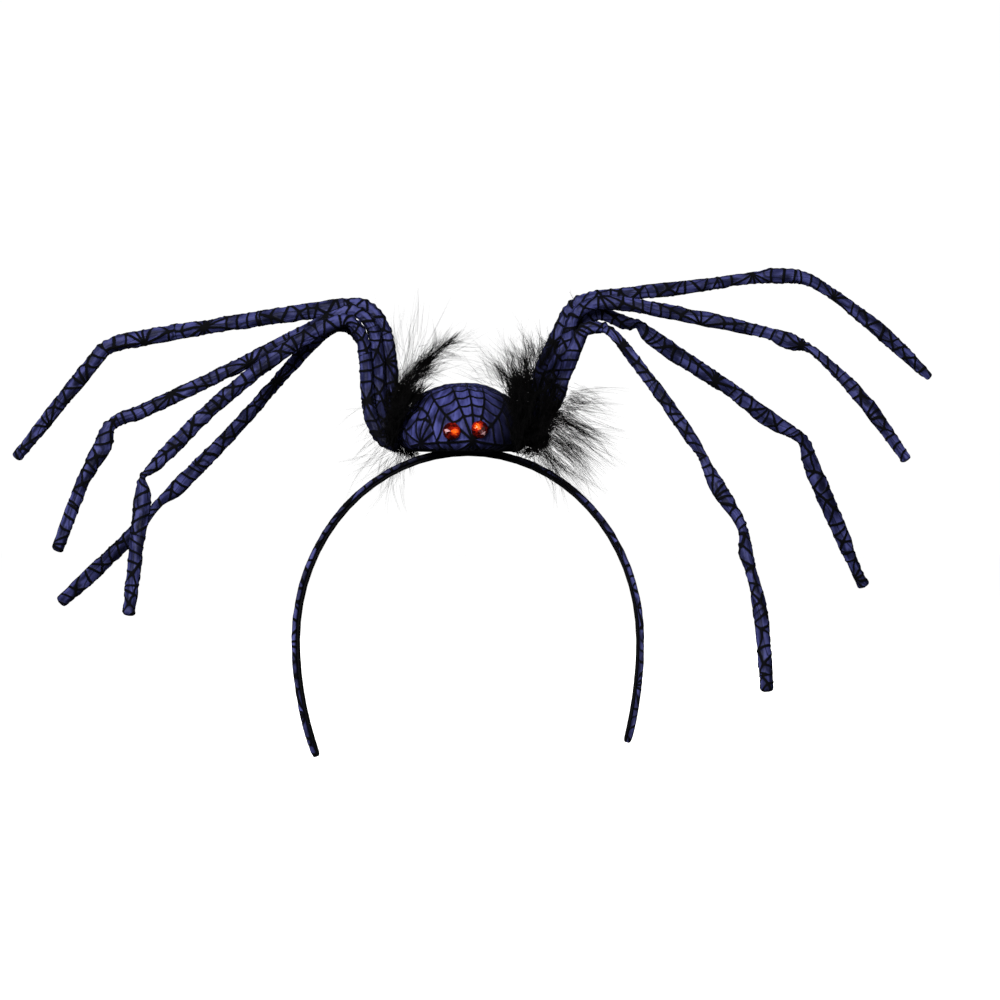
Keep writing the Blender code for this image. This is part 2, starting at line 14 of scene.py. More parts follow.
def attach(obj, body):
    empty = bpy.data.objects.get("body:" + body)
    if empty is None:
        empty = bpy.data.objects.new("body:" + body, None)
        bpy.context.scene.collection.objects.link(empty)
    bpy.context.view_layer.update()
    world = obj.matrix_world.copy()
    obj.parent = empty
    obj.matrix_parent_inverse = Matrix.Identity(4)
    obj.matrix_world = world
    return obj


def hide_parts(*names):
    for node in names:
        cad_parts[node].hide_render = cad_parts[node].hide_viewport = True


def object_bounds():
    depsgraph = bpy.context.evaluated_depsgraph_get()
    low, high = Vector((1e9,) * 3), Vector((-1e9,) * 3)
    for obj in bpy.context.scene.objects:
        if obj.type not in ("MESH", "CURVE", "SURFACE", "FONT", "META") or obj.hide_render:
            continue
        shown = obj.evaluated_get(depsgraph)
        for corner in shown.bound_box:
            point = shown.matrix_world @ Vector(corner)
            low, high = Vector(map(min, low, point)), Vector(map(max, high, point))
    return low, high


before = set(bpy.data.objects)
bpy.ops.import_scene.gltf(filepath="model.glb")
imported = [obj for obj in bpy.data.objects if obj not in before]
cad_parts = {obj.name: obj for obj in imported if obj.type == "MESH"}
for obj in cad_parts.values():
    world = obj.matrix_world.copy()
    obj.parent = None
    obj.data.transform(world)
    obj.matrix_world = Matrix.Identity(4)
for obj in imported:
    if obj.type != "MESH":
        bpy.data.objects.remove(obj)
CAD_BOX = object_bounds()

MM = 0.001
TAU = 2.0 * math.pi
QUARTER = 0.5 * math.pi
TINY = 1e-12

# Fits
PIECE_GAP = 0.3 * MM

# Head band
BAND_HALF_WIDTH = 70.4 * MM
BAND_CROWN_HEIGHT = 76.6 * MM
BAND_RADIUS_LEFT = 137.0 * MM
BAND_RADIUS_RIGHT = 165.0 * MM
BAND_DROP_LEFT = 47.2 * MM
BAND_DROP_RIGHT = 41.4 * MM
BAND_DEPTH = 12.0 * MM
BAND_THICKNESS = 1.9 * MM
BAND_END_LENGTH = 5.0 * MM
BAND_END_SHARE = 0.45
BAND_CROWN_HALF_COUNT = 16
BAND_SIDE_SECTIONS = 7
STRIP_EDGE_POWER = 0.35
STRIP_FACE_POWER = 0.6

# Lining
LINING_THICKNESS = 0.9 * MM
LINING_MARGIN = 0.8 * MM

# Spider body
BODY_HALF_WIDTH = 26.2 * MM
BODY_HALF_DEPTH = 30.0 * MM
BODY_HEIGHT = 27.2 * MM
BODY_SAG = 1.3 * MM
BODY_SHIFT = -1.8 * MM

# Eye stones
EYE_DIAMETER = 7.0 * MM
EYE_HEIGHT = 2.6 * MM
EYE_APART = 3.6 * MM
EYE_CENTRE = -0.7 * MM
EYE_RISE = 7.9 * MM
EYE_STAGGER = 0.6 * MM

# Legs
LEG_DIAMETER = 5.6 * MM
LEG_FLATNESS = 0.9
LEG_REACH = 158.0 * MM
LEG_FAN = 34.0 * MM
LEG_FINE_POINTS = 180
ROOT_THICKNESS = 0.87
ROOT_RISE = 0.34 * LEG_DIAMETER
ROOT_PITCH = LEG_DIAMETER + PIECE_GAP
BUNDLE_PITCH = 0.875 * LEG_DIAMETER
BUNDLE_DEPTH_PITCH = LEG_DIAMETER / 3
# The outermost legs' place from front to back, in pitches from the middle
OUTER_LEG_PITCHES = 1.5
# Two legs keep this many fit gaps apart, and a leg's side is tested this far up its radius
LEGS_APART = 1.5
SIDE_LIFT = 0.7

# Follow from the sizes above
BAND_STACK = LINING_THICKNESS + PIECE_GAP + BAND_THICKNESS
BODY_BASE = BAND_STACK - BODY_SAG

# How finely the curves are worked out
CURVE_SAMPLES = 24
PARTING_TURNS = 80
SMOOTHING_TURNS = 60

# The half outline of the body, from base to top: share of its height, share of its half width.
Profile = namedtuple("Profile", "height width")
BODY_PROFILE = (
    Profile(0.00, 0.76),
    Profile(0.03, 0.86),
    Profile(0.10, 0.945),
    Profile(0.22, 0.995),
    Profile(0.36, 0.985),
    Profile(0.50, 0.93),
    Profile(0.64, 0.835),
    Profile(0.76, 0.72),
    Profile(0.86, 0.57),
    Profile(0.94, 0.38),
    Profile(0.985, 0.18),
)

# Places along the legs are shares of the reach: out from the body's side, up from the crown.
# The rise is the bundle of four legs on one side, which opens to its full column pitch.
Rise = namedtuple("Rise", "out up opening")
RISES = {
    "left": (
        Rise(0.037, 0.048, 0.4), Rise(0.053, 0.104, 0.8),
        Rise(0.056, 0.180, 1.0), Rise(0.061, 0.251, 1.0),
    ),
    "right": (
        Rise(0.008, 0.063, 0.2), Rise(0.017, 0.111, 0.6),
        Rise(0.031, 0.154, 0.9), Rise(0.049, 0.215, 1.0),
    ),
}

# Each leg: its side and number, its column in the bundle, its place from front to back, and its
# bends and pinches from the shoulder to the tip: out, up, and thickness as a share.
Leg = namedtuple("Leg", "side number column order bends")
LEGS = (
    Leg("left", 1, 1, 2, (
        (0.047, 0.327, 0.87), (0.093, 0.380, 0.90), (0.200, 0.372, 1.15), (0.483, 0.330, 1.06),
        (0.646, 0.303, 1.18), (0.752, 0.276, 1.08), (0.796, 0.228, 1.10), (0.982, 0.000, 0.80),
    )),
    Leg("left", 2, 0, 1, (
        (0.075, 0.327, 0.87), (0.121, 0.367, 0.85), (0.199, 0.336, 0.95), (0.402, 0.232, 1.00),
        (0.640, 0.118, 1.02), (0.733, 0.076, 0.95), (0.750, 0.027, 1.30), (0.790, -0.043, 1.00),
        (0.862, -0.233, 0.85),
    )),
    Leg("left", 3, -1, 0, (
        (0.101, 0.301, 0.87), (0.133, 0.341, 0.85), (0.193, 0.326, 0.95), (0.298, 0.261, 1.05),
        (0.474, 0.117, 1.08), (0.615, -0.029, 0.90), (0.641, -0.054, 0.45), (0.640, -0.101, 1.20),
        (0.652, -0.213, 1.05), (0.669, -0.389, 0.90),
    )),
    Leg("left", 4, 0, 3, (
        (0.091, 0.278, 0.80), (0.125, 0.321, 0.78), (0.171, 0.331, 0.80), (0.245, 0.270, 0.85),
        (0.435, 0.064, 0.98), (0.585, -0.083, 1.10), (0.627, -0.118, 0.62), (0.709, -0.209, 1.00),
        (0.809, -0.305, 1.10), (0.885, -0.373, 0.85),
    )),
    Leg("right", 1, 1, 2, (
        (0.058, 0.306, 0.87), (0.098, 0.380, 0.87), (0.141, 0.399, 0.90), (0.218, 0.409, 0.95),
        (0.380, 0.428, 1.00), (0.541, 0.451, 0.80), (0.617, 0.459, 1.10), (0.686, 0.453, 0.95),
        (0.745, 0.423, 0.75), (0.893, 0.309, 1.08), (1.007, 0.204, 0.60),
    )),
    Leg("right", 2, 0, 1, (
        (0.083, 0.291, 0.85), (0.101, 0.352, 0.85), (0.141, 0.382, 0.85), (0.196, 0.387, 0.95),
        (0.438, 0.344, 1.02), (0.597, 0.306, 0.90), (0.644, 0.288, 1.20), (0.689, 0.273, 0.68),
        (0.819, 0.149, 1.02), (0.933, -0.006, 0.78),
    )),
    Leg("right", 3, 0, 3, (
        (0.085, 0.278, 0.80), (0.121, 0.337, 0.80), (0.167, 0.361, 0.85), (0.239, 0.338, 0.90),
        (0.264, 0.337, 0.62), (0.295, 0.307, 1.10), (0.509, 0.167, 1.08), (0.602, 0.097, 1.20),
        (0.691, 0.043, 0.80), (0.712, -0.014, 1.15), (0.795, -0.202, 1.12), (0.836, -0.295, 0.75),
        (0.854, -0.329, 0.90),
    )),
    Leg("right", 4, -1, 0, (
        (0.103, 0.273, 0.95), (0.128, 0.319, 0.90), (0.161, 0.325, 0.80), (0.189, 0.316, 0.60),
        (0.236, 0.262, 0.75), (0.395, 0.039, 0.88), (0.416, 0.004, 0.64), (0.463, -0.089, 1.15),
        (0.518, -0.179, 0.68), (0.524, -0.235, 1.00), (0.539, -0.293, 0.80), (0.560, -0.387, 1.02),
        (0.573, -0.577, 0.95),
    )),
)


def smooth_path(points, count):
    """Read evenly spaced rows from a centripetal curve through the rows of a table."""
    knots = np.asarray(points, dtype=float)
    knots = np.vstack([2 * knots[0] - knots[1], knots, 2 * knots[-1] - knots[-2]])
    spans = np.sqrt(np.linalg.norm(np.diff(knots[:, :3], axis=0), axis=1))
    times = np.concatenate([[0.0], np.cumsum(spans)])
    rows = []
    for index in range(1, len(knots) - 2):
        t0, t1, t2, t3 = times[index - 1:index + 3]
        p0, p1, p2, p3 = knots[index - 1:index + 3]
        for t in np.linspace(t1, t2, CURVE_SAMPLES, endpoint=False):
            a1 = p0 + (p1 - p0) * (t - t0) / (t1 - t0)
            a2 = p1 + (p2 - p1) * (t - t1) / (t2 - t1)
            a3 = p2 + (p3 - p2) * (t - t2) / (t3 - t2)
            b1 = a1 + (a2 - a1) * (t - t0) / (t2 - t0)
            b2 = a2 + (a3 - a2) * (t - t1) / (t3 - t1)
            rows.append(b1 + (b2 - b1) * (t - t1) / (t2 - t1))
    rows.append(knots[-2])
    rows = np.array(rows)
    return resample(rows, arc_lengths(rows), count)


def arc_lengths(rows):
    steps = np.linalg.norm(np.diff(rows[:, :3], axis=0), axis=1)
    return np.concatenate([[0.0], np.cumsum(steps)])


def resample(rows, measure, count):
    """Read rows at even steps of a growing measure."""
    even = np.linspace(0.0, measure[-1], count)
    return np.column_stack([np.interp(even, measure, column) for column in rows.T])


def band_line(inset):
    """The band's line at a depth below its outer face: rows of x, z and the outward normal."""
    widest = BAND_STACK - BAND_CROWN_HEIGHT
    rows = []
    halves = ((-1, BAND_DROP_LEFT, BAND_RADIUS_LEFT), (1, BAND_DROP_RIGHT, BAND_RADIUS_RIGHT))
    for side, drop, radius in halves:
        half = []
        for step in range(BAND_CROWN_HALF_COUNT):
            turn = QUARTER * step / BAND_CROWN_HALF_COUNT
            place = Vector((BAND_HALF_WIDTH * math.sin(turn), BAND_CROWN_HEIGHT * math.cos(turn)))
            normal = Vector((place.x / BAND_HALF_WIDTH**2, place.y / BAND_CROWN_HEIGHT**2))
            half.append((place, normal.normalized()))
        end_turn = math.asin(drop / radius)
        centre = Vector((BAND_HALF_WIDTH - radius, 0.0))
        for step in range(BAND_SIDE_SECTIONS + 1):
            turn = -end_turn * step / BAND_SIDE_SECTIONS
            normal = Vector((math.cos(turn), math.sin(turn)))
            half.append((centre + normal * radius, normal))
        half = [(place - normal * inset, normal) for place, normal in half]
        half = [(side * p.x, p.y + widest, side * n.x, n.y) for p, n in half]
        rows = half[::-1] if side < 0 else rows[:-1] + half
    return rows


def share_of(value, length):
    return np.clip(value / length, 0.0, 1.0)


def off_ends(along, length, least):
    """A round rise from a least share at each end to 1 at a length from it."""
    share = share_of(np.minimum(along, along[-1] - along), length)
    return least + (1.0 - least) * np.sqrt(share * (2.0 - share))


def squared(value, power):
    """Push a sine or cosine towards a box's edge: the lower the power, the squarer."""
    return math.copysign(abs(value) ** power, value)


def unit(vectors):
    return vectors / np.maximum(np.linalg.norm(vectors, axis=-1, keepdims=True), TINY)


def around(one, other, turns, flatness=1.0):
    """Directions round each point of a line, from two that stand square to it."""
    cos, sin = np.cos(turns)[:, None], np.sin(turns)[:, None]
    return one[..., None, :] * cos + other[..., None, :] * sin * flatness


def body_width_at(height):
    """The body's half width at a height above the crown."""
    share = (height - BODY_BASE) / BODY_HEIGHT
    heights = [row.height for row in BODY_PROFILE] + [1.0]
    widths = [row.width for row in BODY_PROFILE] + [0.0]
    return BODY_HALF_WIDTH * float(np.interp(share, heights, widths))


def body_side_at(depth, height):
    """How far the body's side wall stands out from its middle, at a depth and a height."""
    half_width = body_width_at(height)
    half_depth = BODY_HALF_DEPTH * half_width / BODY_HALF_WIDTH
    if abs(depth) >= half_depth:
        return 0.0
    return half_width * math.sqrt(1.0 - (depth / half_depth) ** 2)


def eye_placement(x, z):
    """The body's front surface point and its outward normal at a place in front view."""
    def front(px, pz):
        half_width = body_width_at(pz)
        share = (px - BODY_SHIFT) / half_width
        return -BODY_HALF_DEPTH * half_width / BODY_HALF_WIDTH * math.sqrt(1.0 - share**2)

    step = EYE_DIAMETER / 2
    slope_x = (front(x + step, z) - front(x - step, z)) / (2 * step)
    slope_z = (front(x, z + step) - front(x, z - step)) / (2 * step)
    normal = Vector((slope_x, -1.0, slope_z)).normalized()
    return Vector((x, front(x, z), z)), normal


def side_sign(side):
    return -1.0 if side == "left" else 1.0


def leg_place(side, out, up):
    """A place in front view from its shares of the reach."""
    start = BODY_HALF_WIDTH + PIECE_GAP
    return side_sign(side) * (start + out * LEG_REACH), up * LEG_REACH


def depth_share(leg):
    """The leg's place from front to back as a number of pitches from the middle."""
    return leg.order - OUTER_LEG_PITCHES


def root_row(leg, toward):
    """The leg's root: its end faces the body's side wall across the fit gap."""
    radius = ROOT_THICKNESS * LEG_DIAMETER / 2
    depth = depth_share(leg) * ROOT_PITCH
    height = BODY_BASE + ROOT_RISE
    sign = side_sign(leg.side)
    reach = max(
        body_side_at(depth + shift, height + lift)
        for shift in (-radius, 0.0, radius)
        for lift in (0.0, radius)
    )
    wall = BODY_SHIFT + sign * reach
    run = Vector((toward[0] - wall, toward[1] - height))
    tilt = abs(run.y) / run.length
    return (wall + sign * (PIECE_GAP + radius * tilt), depth, height, radius)


def bundle_rows(leg):
    """The leg's rows up the bundle, where its column opens and its depth closes up."""
    sign = side_sign(leg.side)
    rises = RISES[leg.side]
    places = [Vector(leg_place(leg.side, rise.out, rise.up)) for rise in rises]
    rows = []
    for index, (place, rise) in enumerate(zip(places, rises)):
        before = places[max(index - 1, 0)]
        after = places[min(index + 1, len(places) - 1)]
        run = (after - before).normalized()
        inward = Vector((run.y, -run.x)) * -sign
        spot = place + inward * leg.column * BUNDLE_PITCH * rise.opening
        closed = (index + 1) / len(places)
        pitch = ROOT_PITCH + (BUNDLE_DEPTH_PITCH - ROOT_PITCH) * closed
        rows.append((spot.x, depth_share(leg) * pitch, spot.y, ROOT_THICKNESS * LEG_DIAMETER / 2))
    return rows


def leg_rows(leg):
    """The rows of one leg from root to tip: x, y, z and radius."""
    rows = bundle_rows(leg)
    rows.insert(0, root_row(leg, (rows[0][0], rows[0][2])))
    spots = [leg_place(leg.side, out, up) for out, up, _ in leg.bends]
    runs = [math.dist(a, b) for a, b in zip(spots, spots[1:])]
    fan = depth_share(leg) / OUTER_LEG_PITCHES * LEG_FAN
    passed = 0.0
    for (x, z), (_, _, thickness), run in zip(spots, leg.bends, [0.0] + runs):
        passed += run
        depth = depth_share(leg) * BUNDLE_DEPTH_PITCH + fan * passed / sum(runs)
        rows.append((x, depth, z, thickness * LEG_DIAMETER / 2))
    return rows


def clear_body(path, sign):
    """Keep a leg's side off the body's wall by the fit gap."""
    run = unit(np.gradient(path[:, :3], axis=0))
    for row, ahead in zip(path, run):
        lifts = (-SIDE_LIFT, 0.0, SIDE_LIFT)
        reach = max(body_side_at(row[1], row[2] + lift * row[3]) for lift in lifts)
        if reach > 0.0:
            aside = row[3] * math.sqrt(1.0 - ahead[0] ** 2)
            least = sign * BODY_SHIFT + reach + PIECE_GAP + aside
            row[0] = sign * max(sign * row[0], least)


def part_legs(paths):
    """Move the legs of one side apart in depth until each pair clears the fit gap.

    The paths come in their order from front to back, so the front view stays as it is.
    """
    for turn in range(PARTING_TURNS):
        for ahead in range(len(paths)):
            for behind in range(ahead + 1, len(paths)):
                push_apart(paths[ahead], paths[behind])
        if turn < SMOOTHING_TURNS:
            for path in paths:
                path[1:-1, 1] = 0.5 * path[1:-1, 1] + 0.25 * (path[:-2, 1] + path[2:, 1])


def push_apart(front, back):
    """Move two legs away from each other in depth, each point by half of what it lacks."""
    flat_x = front[:, None, 0] - back[None, :, 0]
    flat_z = front[:, None, 2] - back[None, :, 2]
    needed = front[:, None, 3] + back[None, :, 3] + LEGS_APART * PIECE_GAP
    room = needed**2 - flat_x**2 - flat_z**2
    short = np.sqrt(np.maximum(room, 0.0)) - (back[None, :, 1] - front[:, None, 1])
    short = np.where(room > 0.0, np.maximum(short, 0.0), 0.0)
    front[:, 1] -= 0.5 * short.max(axis=1)
    back[:, 1] += 0.5 * short.max(axis=0)


# The printed web, in millimetres: a thread's half width and relief, and its spokes and rings.
THREAD_HALF = 0.46
THREAD_EDGE = 0.14
THREAD_BLEND = 0.8
THREAD_RELIEF = 0.25
SPOKES = 11
SPOKE_SKEW = 0.34
RING_FIRST = 8.2
RING_PITCH = 3.9
RING_SAG = 0.03
BORDER_THINNING = 0.25
# The print's slow drift: how fine it is, how far it goes, and how its two ways differ
WOBBLE_SCALE = 0.11
WOBBLE = 1.5
WOBBLE_APART = Vector((17.0, 5.0, 3.0))
# The shortest way between two webs down a strip of cloth
WEB_STEP = 20.0
# Further than any border between two webs
FAR_OFF = 1e3

# How finely the cloth is laid out, in millimetres
CLOTH_STEP = 0.5


# Numbers that work both on arrays and in a material's nodes

def fill(socket, value):
    """Set a socket to a constant, or link a wire to it."""
    if isinstance(value, Wire):
        value.tree.links.new(value.socket, socket)
    else:
        socket.default_value = value


def new_node(tree, kind, values=None, **settings):
    node = tree.nodes.new("ShaderNode" + kind)
    for title, value in settings.items():
        setattr(node, title, value)
    for title, value in (values or {}).items():
        fill(node.inputs[title], value)
    return node


def wired(operation, *values):
    tree = next(value.tree for value in values if isinstance(value, Wire))
    return Wire(new_node(tree, "Math", dict(enumerate(values)), operation=operation).outputs[0])


def sum_of(operation, swapped=False):
    """A Python operator that adds a node to a material."""
    def work(self, other):
        return wired(operation, other, self) if swapped else wired(operation, self, other)
    return work


class Wire:
    """A number or a colour in a material's nodes."""

    def __init__(self, socket):
        self.socket = socket
        self.tree = socket.id_data

    __add__ = __radd__ = sum_of("ADD")
    __sub__ = sum_of("SUBTRACT")
    __rsub__ = sum_of("SUBTRACT", True)
    __mul__ = __rmul__ = sum_of("MULTIPLY")
    __truediv__ = sum_of("DIVIDE")
    __rtruediv__ = sum_of("DIVIDE", True)


def either(operation, on_arrays):
    """One function for arrays and for wires."""
    def work(*values):
        if isinstance(values[0], Wire):
            return wired(operation, *values)
        return on_arrays(*values)
    return work


def soft_least_of_arrays(one, other, blend):
    near = np.maximum(blend - np.abs(one - other), 0.0) / blend
    return np.minimum(one, other) - near**3 * blend / 6.0


nearest = either("ROUND", lambda value: np.floor(value + 0.5))
size_of = either("ABSOLUTE", np.abs)
sine = either("SINE", np.sin)
root = either("SQRT", np.sqrt)
angle_of = either("ARCTAN2", np.arctan2)
at_least = either("MAXIMUM", np.maximum)
soft_least = either("SMOOTH_MIN", soft_least_of_arrays)


def thread_distance(x, y):
    """How far a place is from the nearest thread of a web drawn round the origin."""
    turn = angle_of(y, x)
    share = turn * (SPOKES / TAU) + sine(turn * 2.0) * SPOKE_SKEW
    off = size_of(share - nearest(share))
    density = sine(turn * 2.0 + QUARTER) * (2.0 * SPOKE_SKEW) + SPOKES / TAU
    radius = root(x * x + y * y)
    spoke = radius * sine(off / density)
    half = 0.5 / density
    midway = off * 2.0
    chord = sine(half * (1.0 - midway) + QUARTER) / sine(half + QUARTER)
    stretched = radius * chord / (1.0 - midway * RING_SAG)
    ring = (stretched - RING_FIRST) / RING_PITCH
    ring_off = size_of(ring - nearest(at_least(ring, 0.0))) * RING_PITCH
    return soft_least(spoke, ring_off, THREAD_BLEND)


# Cloth laid out as a grid of points

WebCentre = namedtuple("WebCentre", "x y turn")


def web_centres(draw, place, end, girth, edge, longest):
    """Web centres down a strip of cloth: off its edges by a share of its girth, unevenly apart."""
    centres = []
    while place < end:
        across = draw.uniform(edge, 1.0 - edge) * girth
        centres.append(WebCentre(across, place, draw.uniform(0.0, TAU)))
        place += draw.uniform(WEB_STEP, longest)
    return centres


def wobble(x, y, seed):
    """A slow drift of the print, in millimetres."""
    place = Vector((x * WOBBLE_SCALE, y * WOBBLE_SCALE, seed))
    return noise.noise(place) * WOBBLE, noise.noise(place + WOBBLE_APART) * WOBBLE


def face_corners(grid):
    """The four corners of each face of a grid."""
    return np.stack([grid[:-1, :-1], grid[:-1, 1:], grid[1:, 1:], grid[1:, :-1]], axis=2)


def flat_places(across, along):
    """Each grid point's place on the flat cloth, in millimetres."""
    return np.stack(np.broadcast_arrays(across[None, :], along[:, None]), axis=2)


def web_places(flat, centres, seed):
    """Each corner of each face of a grid, seen from the web that is nearest to the face."""
    drift = np.array([wobble(x, y, seed) for x, y in flat.reshape(-1, 2)]).reshape(flat.shape)
    corners = face_corners(flat + drift)
    middle = corners.mean(axis=2)
    spots = np.array([(centre.x, centre.y) for centre in centres])
    chosen = np.linalg.norm(middle[:, :, None] - spots, axis=3).argmin(axis=2)
    reach = np.linalg.norm(corners[:, :, :, None] - spots, axis=4)
    edge = border_distance(reach, np.ones(len(spots)), chosen)
    x, y = np.moveaxis(corners - spots[chosen][:, :, None], 3, 0)
    turns = np.array([centre.turn for centre in centres])[chosen][:, :, None]
    cos, sin = np.cos(turns), np.sin(turns)
    return np.stack([x * cos + y * sin, y * cos - x * sin, edge + BORDER_THINNING], axis=3)


def border_distance(reach, weights, chosen):
    """How far each face corner is from where its web meets the next one."""
    far = reach * weights
    index = chosen[:, :, None, None]
    own = np.take_along_axis(far, index, axis=3)
    others = np.abs(far - own) / (weights + weights[chosen][:, :, None, None])
    np.put_along_axis(others, index, FAR_OFF, axis=3)
    return others.min(axis=3)


def thread_relief(webs):
    """How far the thread stands up at each grid point: the mean over the faces round it."""
    distance = np.minimum(thread_distance(webs[..., 0], webs[..., 1]), webs[..., 2])
    height = 1.0 - share_of(distance - THREAD_HALF + THREAD_EDGE, 2 * THREAD_EDGE)
    rows, cols = height.shape[0] + 1, height.shape[1] + 1
    total = np.zeros((rows, cols))
    count = np.zeros((rows, cols))
    for corner, (down, side) in enumerate(((0, 0), (0, 1), (1, 1), (1, 0))):
        total[down:rows - 1 + down, side:cols - 1 + side] += height[..., corner]
        count[down:rows - 1 + down, side:cols - 1 + side] += 1
    relief = total / count
    relief[:, 0] = relief[:, -1] = 0.5 * (relief[:, 0] + relief[:, -1])
    return relief


def placed(name, data):
    """A new object in the scene."""
    item = bpy.data.objects.new(name, data)
    bpy.context.scene.collection.objects.link(item)
    return item


def settle(piece, node):
    """Let a piece ride on the body and take the place of its solid."""
    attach(piece, "root")
    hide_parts(node)


def cloth_object(name, points, flat, webs, material, painted_shade):
    """A tube of cloth from a grid whose last column meets its first.

    The last argument holds how far each grid point's cloth is darkened by painted shade.
    """
    rows, cols = points.shape[0], points.shape[1] - 1
    row, col = np.mgrid[0:rows - 1, 0:cols]
    here, after = row * cols, (col + 1) % cols
    quads = np.stack([here + col, here + after, here + cols + after, here + cols + col], axis=2)
    faces = quads.reshape(-1, 4).tolist()
    faces.append(list(range(cols))[::-1])
    faces.append([(rows - 1) * cols + side for side in range(cols)])
    mesh = bpy.data.meshes.new(name)
    mesh.from_pydata(points[:, :cols].reshape(-1, 3).tolist(), [], faces)
    border = np.stack([webs[..., 2], webs[..., 2] * 0.0], axis=3)
    layers = {"cloth": face_corners(flat), "web": webs[..., :2], "border": border}
    for title, corners in layers.items():
        values = np.zeros((len(mesh.loops), 2))
        values[:corners.size // 2] = corners.reshape(-1, 2)
        mesh.uv_layers.new(name=title).uv.foreach_set("vector", values.ravel())
    # Painted shade, kept per point for the satin to darken the cloth by
    shade = mesh.attributes.new("painted_shade", "FLOAT", "POINT")
    painted_shade = np.broadcast_to(painted_shade, (rows, cols + 1))[:, :cols]
    shade.data.foreach_set("value", np.ascontiguousarray(painted_shade, dtype=np.float32).ravel())
    mesh.shade_smooth()
    mesh.materials.append(material)
    flip_if_inside_out(mesh)
    return placed(name, mesh)


def flip_if_inside_out(mesh):
    mesh.calc_loop_triangles()
    corners = ([mesh.vertices[index].co for index in tri.vertices] for tri in mesh.loop_triangles)
    if sum(a.dot(b.cross(c)) for a, b, c in corners) < 0.0:
        mesh.flip_normals()


# Materials

def new_material(name):
    material = bpy.data.materials.new(name)
    material.use_nodes = True
    return material, material.node_tree


def finished(material, looks):
    """Fill the shader's own sockets and hand the material back."""
    shader = material.node_tree.nodes["Principled BSDF"]
    for title, value in looks.items():
        fill(shader.inputs[title], value)
    return material


def uv_wires(tree, layer):
    place = Wire(new_node(tree, "UVMap", uv_map=layer).outputs["UV"])
    parts = new_node(tree, "SeparateXYZ", {0: place})
    return Wire(parts.outputs[0]), Wire(parts.outputs[1])


def attribute_wire(tree, title):
    return Wire(new_node(tree, "Attribute", attribute_name=title).outputs["Fac"])


def noise_wire(place, scale, detail, roughness=0.5):
    values = {"Vector": place, "Scale": scale, "Detail": detail, "Roughness": roughness}
    return Wire(new_node(place.tree, "TexNoise", values).outputs["Fac"])


def object_noise(tree, scale, detail):
    return noise_wire(Wire(new_node(tree, "TexCoord").outputs["Object"]), scale, detail)


def ramp_wire(value, low, high):
    """A smooth rise from 0 at a low value to 1 at a high one."""
    values = {"Value": value, "From Min": low, "From Max": high}
    node = new_node(value.tree, "MapRange", values, interpolation_type="SMOOTHSTEP")
    return Wire(node.outputs["Result"])


def mixed(share, one, other):
    """A colour between two, each a constant or a wire."""
    node = new_node(share.tree, "Mix", data_type="RGBA")
    sockets = [socket for socket in node.inputs if socket.enabled]
    for socket, value in zip(sockets, (share, one, other)):
        fill(socket, value)
    return Wire(next(socket for socket in node.outputs if socket.enabled))


def bumped(heights, strength, distance):
    values = {"Height": heights, "Strength": strength, "Distance": distance}
    return Wire(new_node(heights.tree, "Bump", values).outputs["Normal"])


# Noises over the flat cloth: how close they are drawn across and along it, their place in the
# noise, and its scale, detail and roughness
Pattern = namedtuple("Pattern", "across along start scale detail roughness")
FRAY = Pattern(1.0, 1.0, 0.0, 1.3, 3.0, 0.5)
STREAKS = Pattern(0.45, 0.07, 0.0, 1.0, 1.5, 0.5)
PATCHES = Pattern(1.0, 1.0, 4.0, 0.16, 2.0, 0.5)
FOLDS = Pattern(0.24, 0.04, 33.0, 1.0, 0.0, 0.5)
SHADOW_PATCHES = Pattern(0.8, 0.35, 21.0, 0.30, 3.0, 0.5)
CREASES = Pattern(0.9, 0.35, 9.0, 1.0, 4.0, 0.6)
FUZZ = Pattern(1.0, 1.0, 0.0, 3.0, 4.0, 0.6)

# The satin: how much its thread frays, the shares and the range of its painted sheen, the line and
# width of its long folds with painted shade in their creases, and its patches of painted shadow
FRAYING = 0.35
STREAK_SHARE = 0.6
PATCH_SHARE = 0.4
PAINTED_SHEEN_RANGE = (0.38, 0.64)
FOLD_LINE = 0.47
FOLD_WIDTHS = (0.030, 0.008)
SHADOW_RANGE = (0.50, 0.64)
SHADOW_DEPTH = 0.7
# The print's black, also the black that the painted shade darkens the cloth towards
INK_AND_SHADE_BLACK = (0.0012, 0.0012, 0.0018, 1.0)
# Its bump: the weave's threads to a millimetre, and how high each part of it stands
WEAVE_THREADS = 2.6
WEAVE_RISE = 0.035
THREAD_RISE = 0.5
CREASE_RISE = 0.9
FURROW_SINK = 0.5
# The lining's ribs, in millimetres
RIB_PITCH = 0.7


def patterned(cloth, pattern):
    across, along = cloth
    place = new_node(across.tree, "CombineXYZ", {
        0: across * pattern.across, 1: along * pattern.along, 2: pattern.start})
    return noise_wire(Wire(place.outputs[0]), pattern.scale, pattern.detail, pattern.roughness)


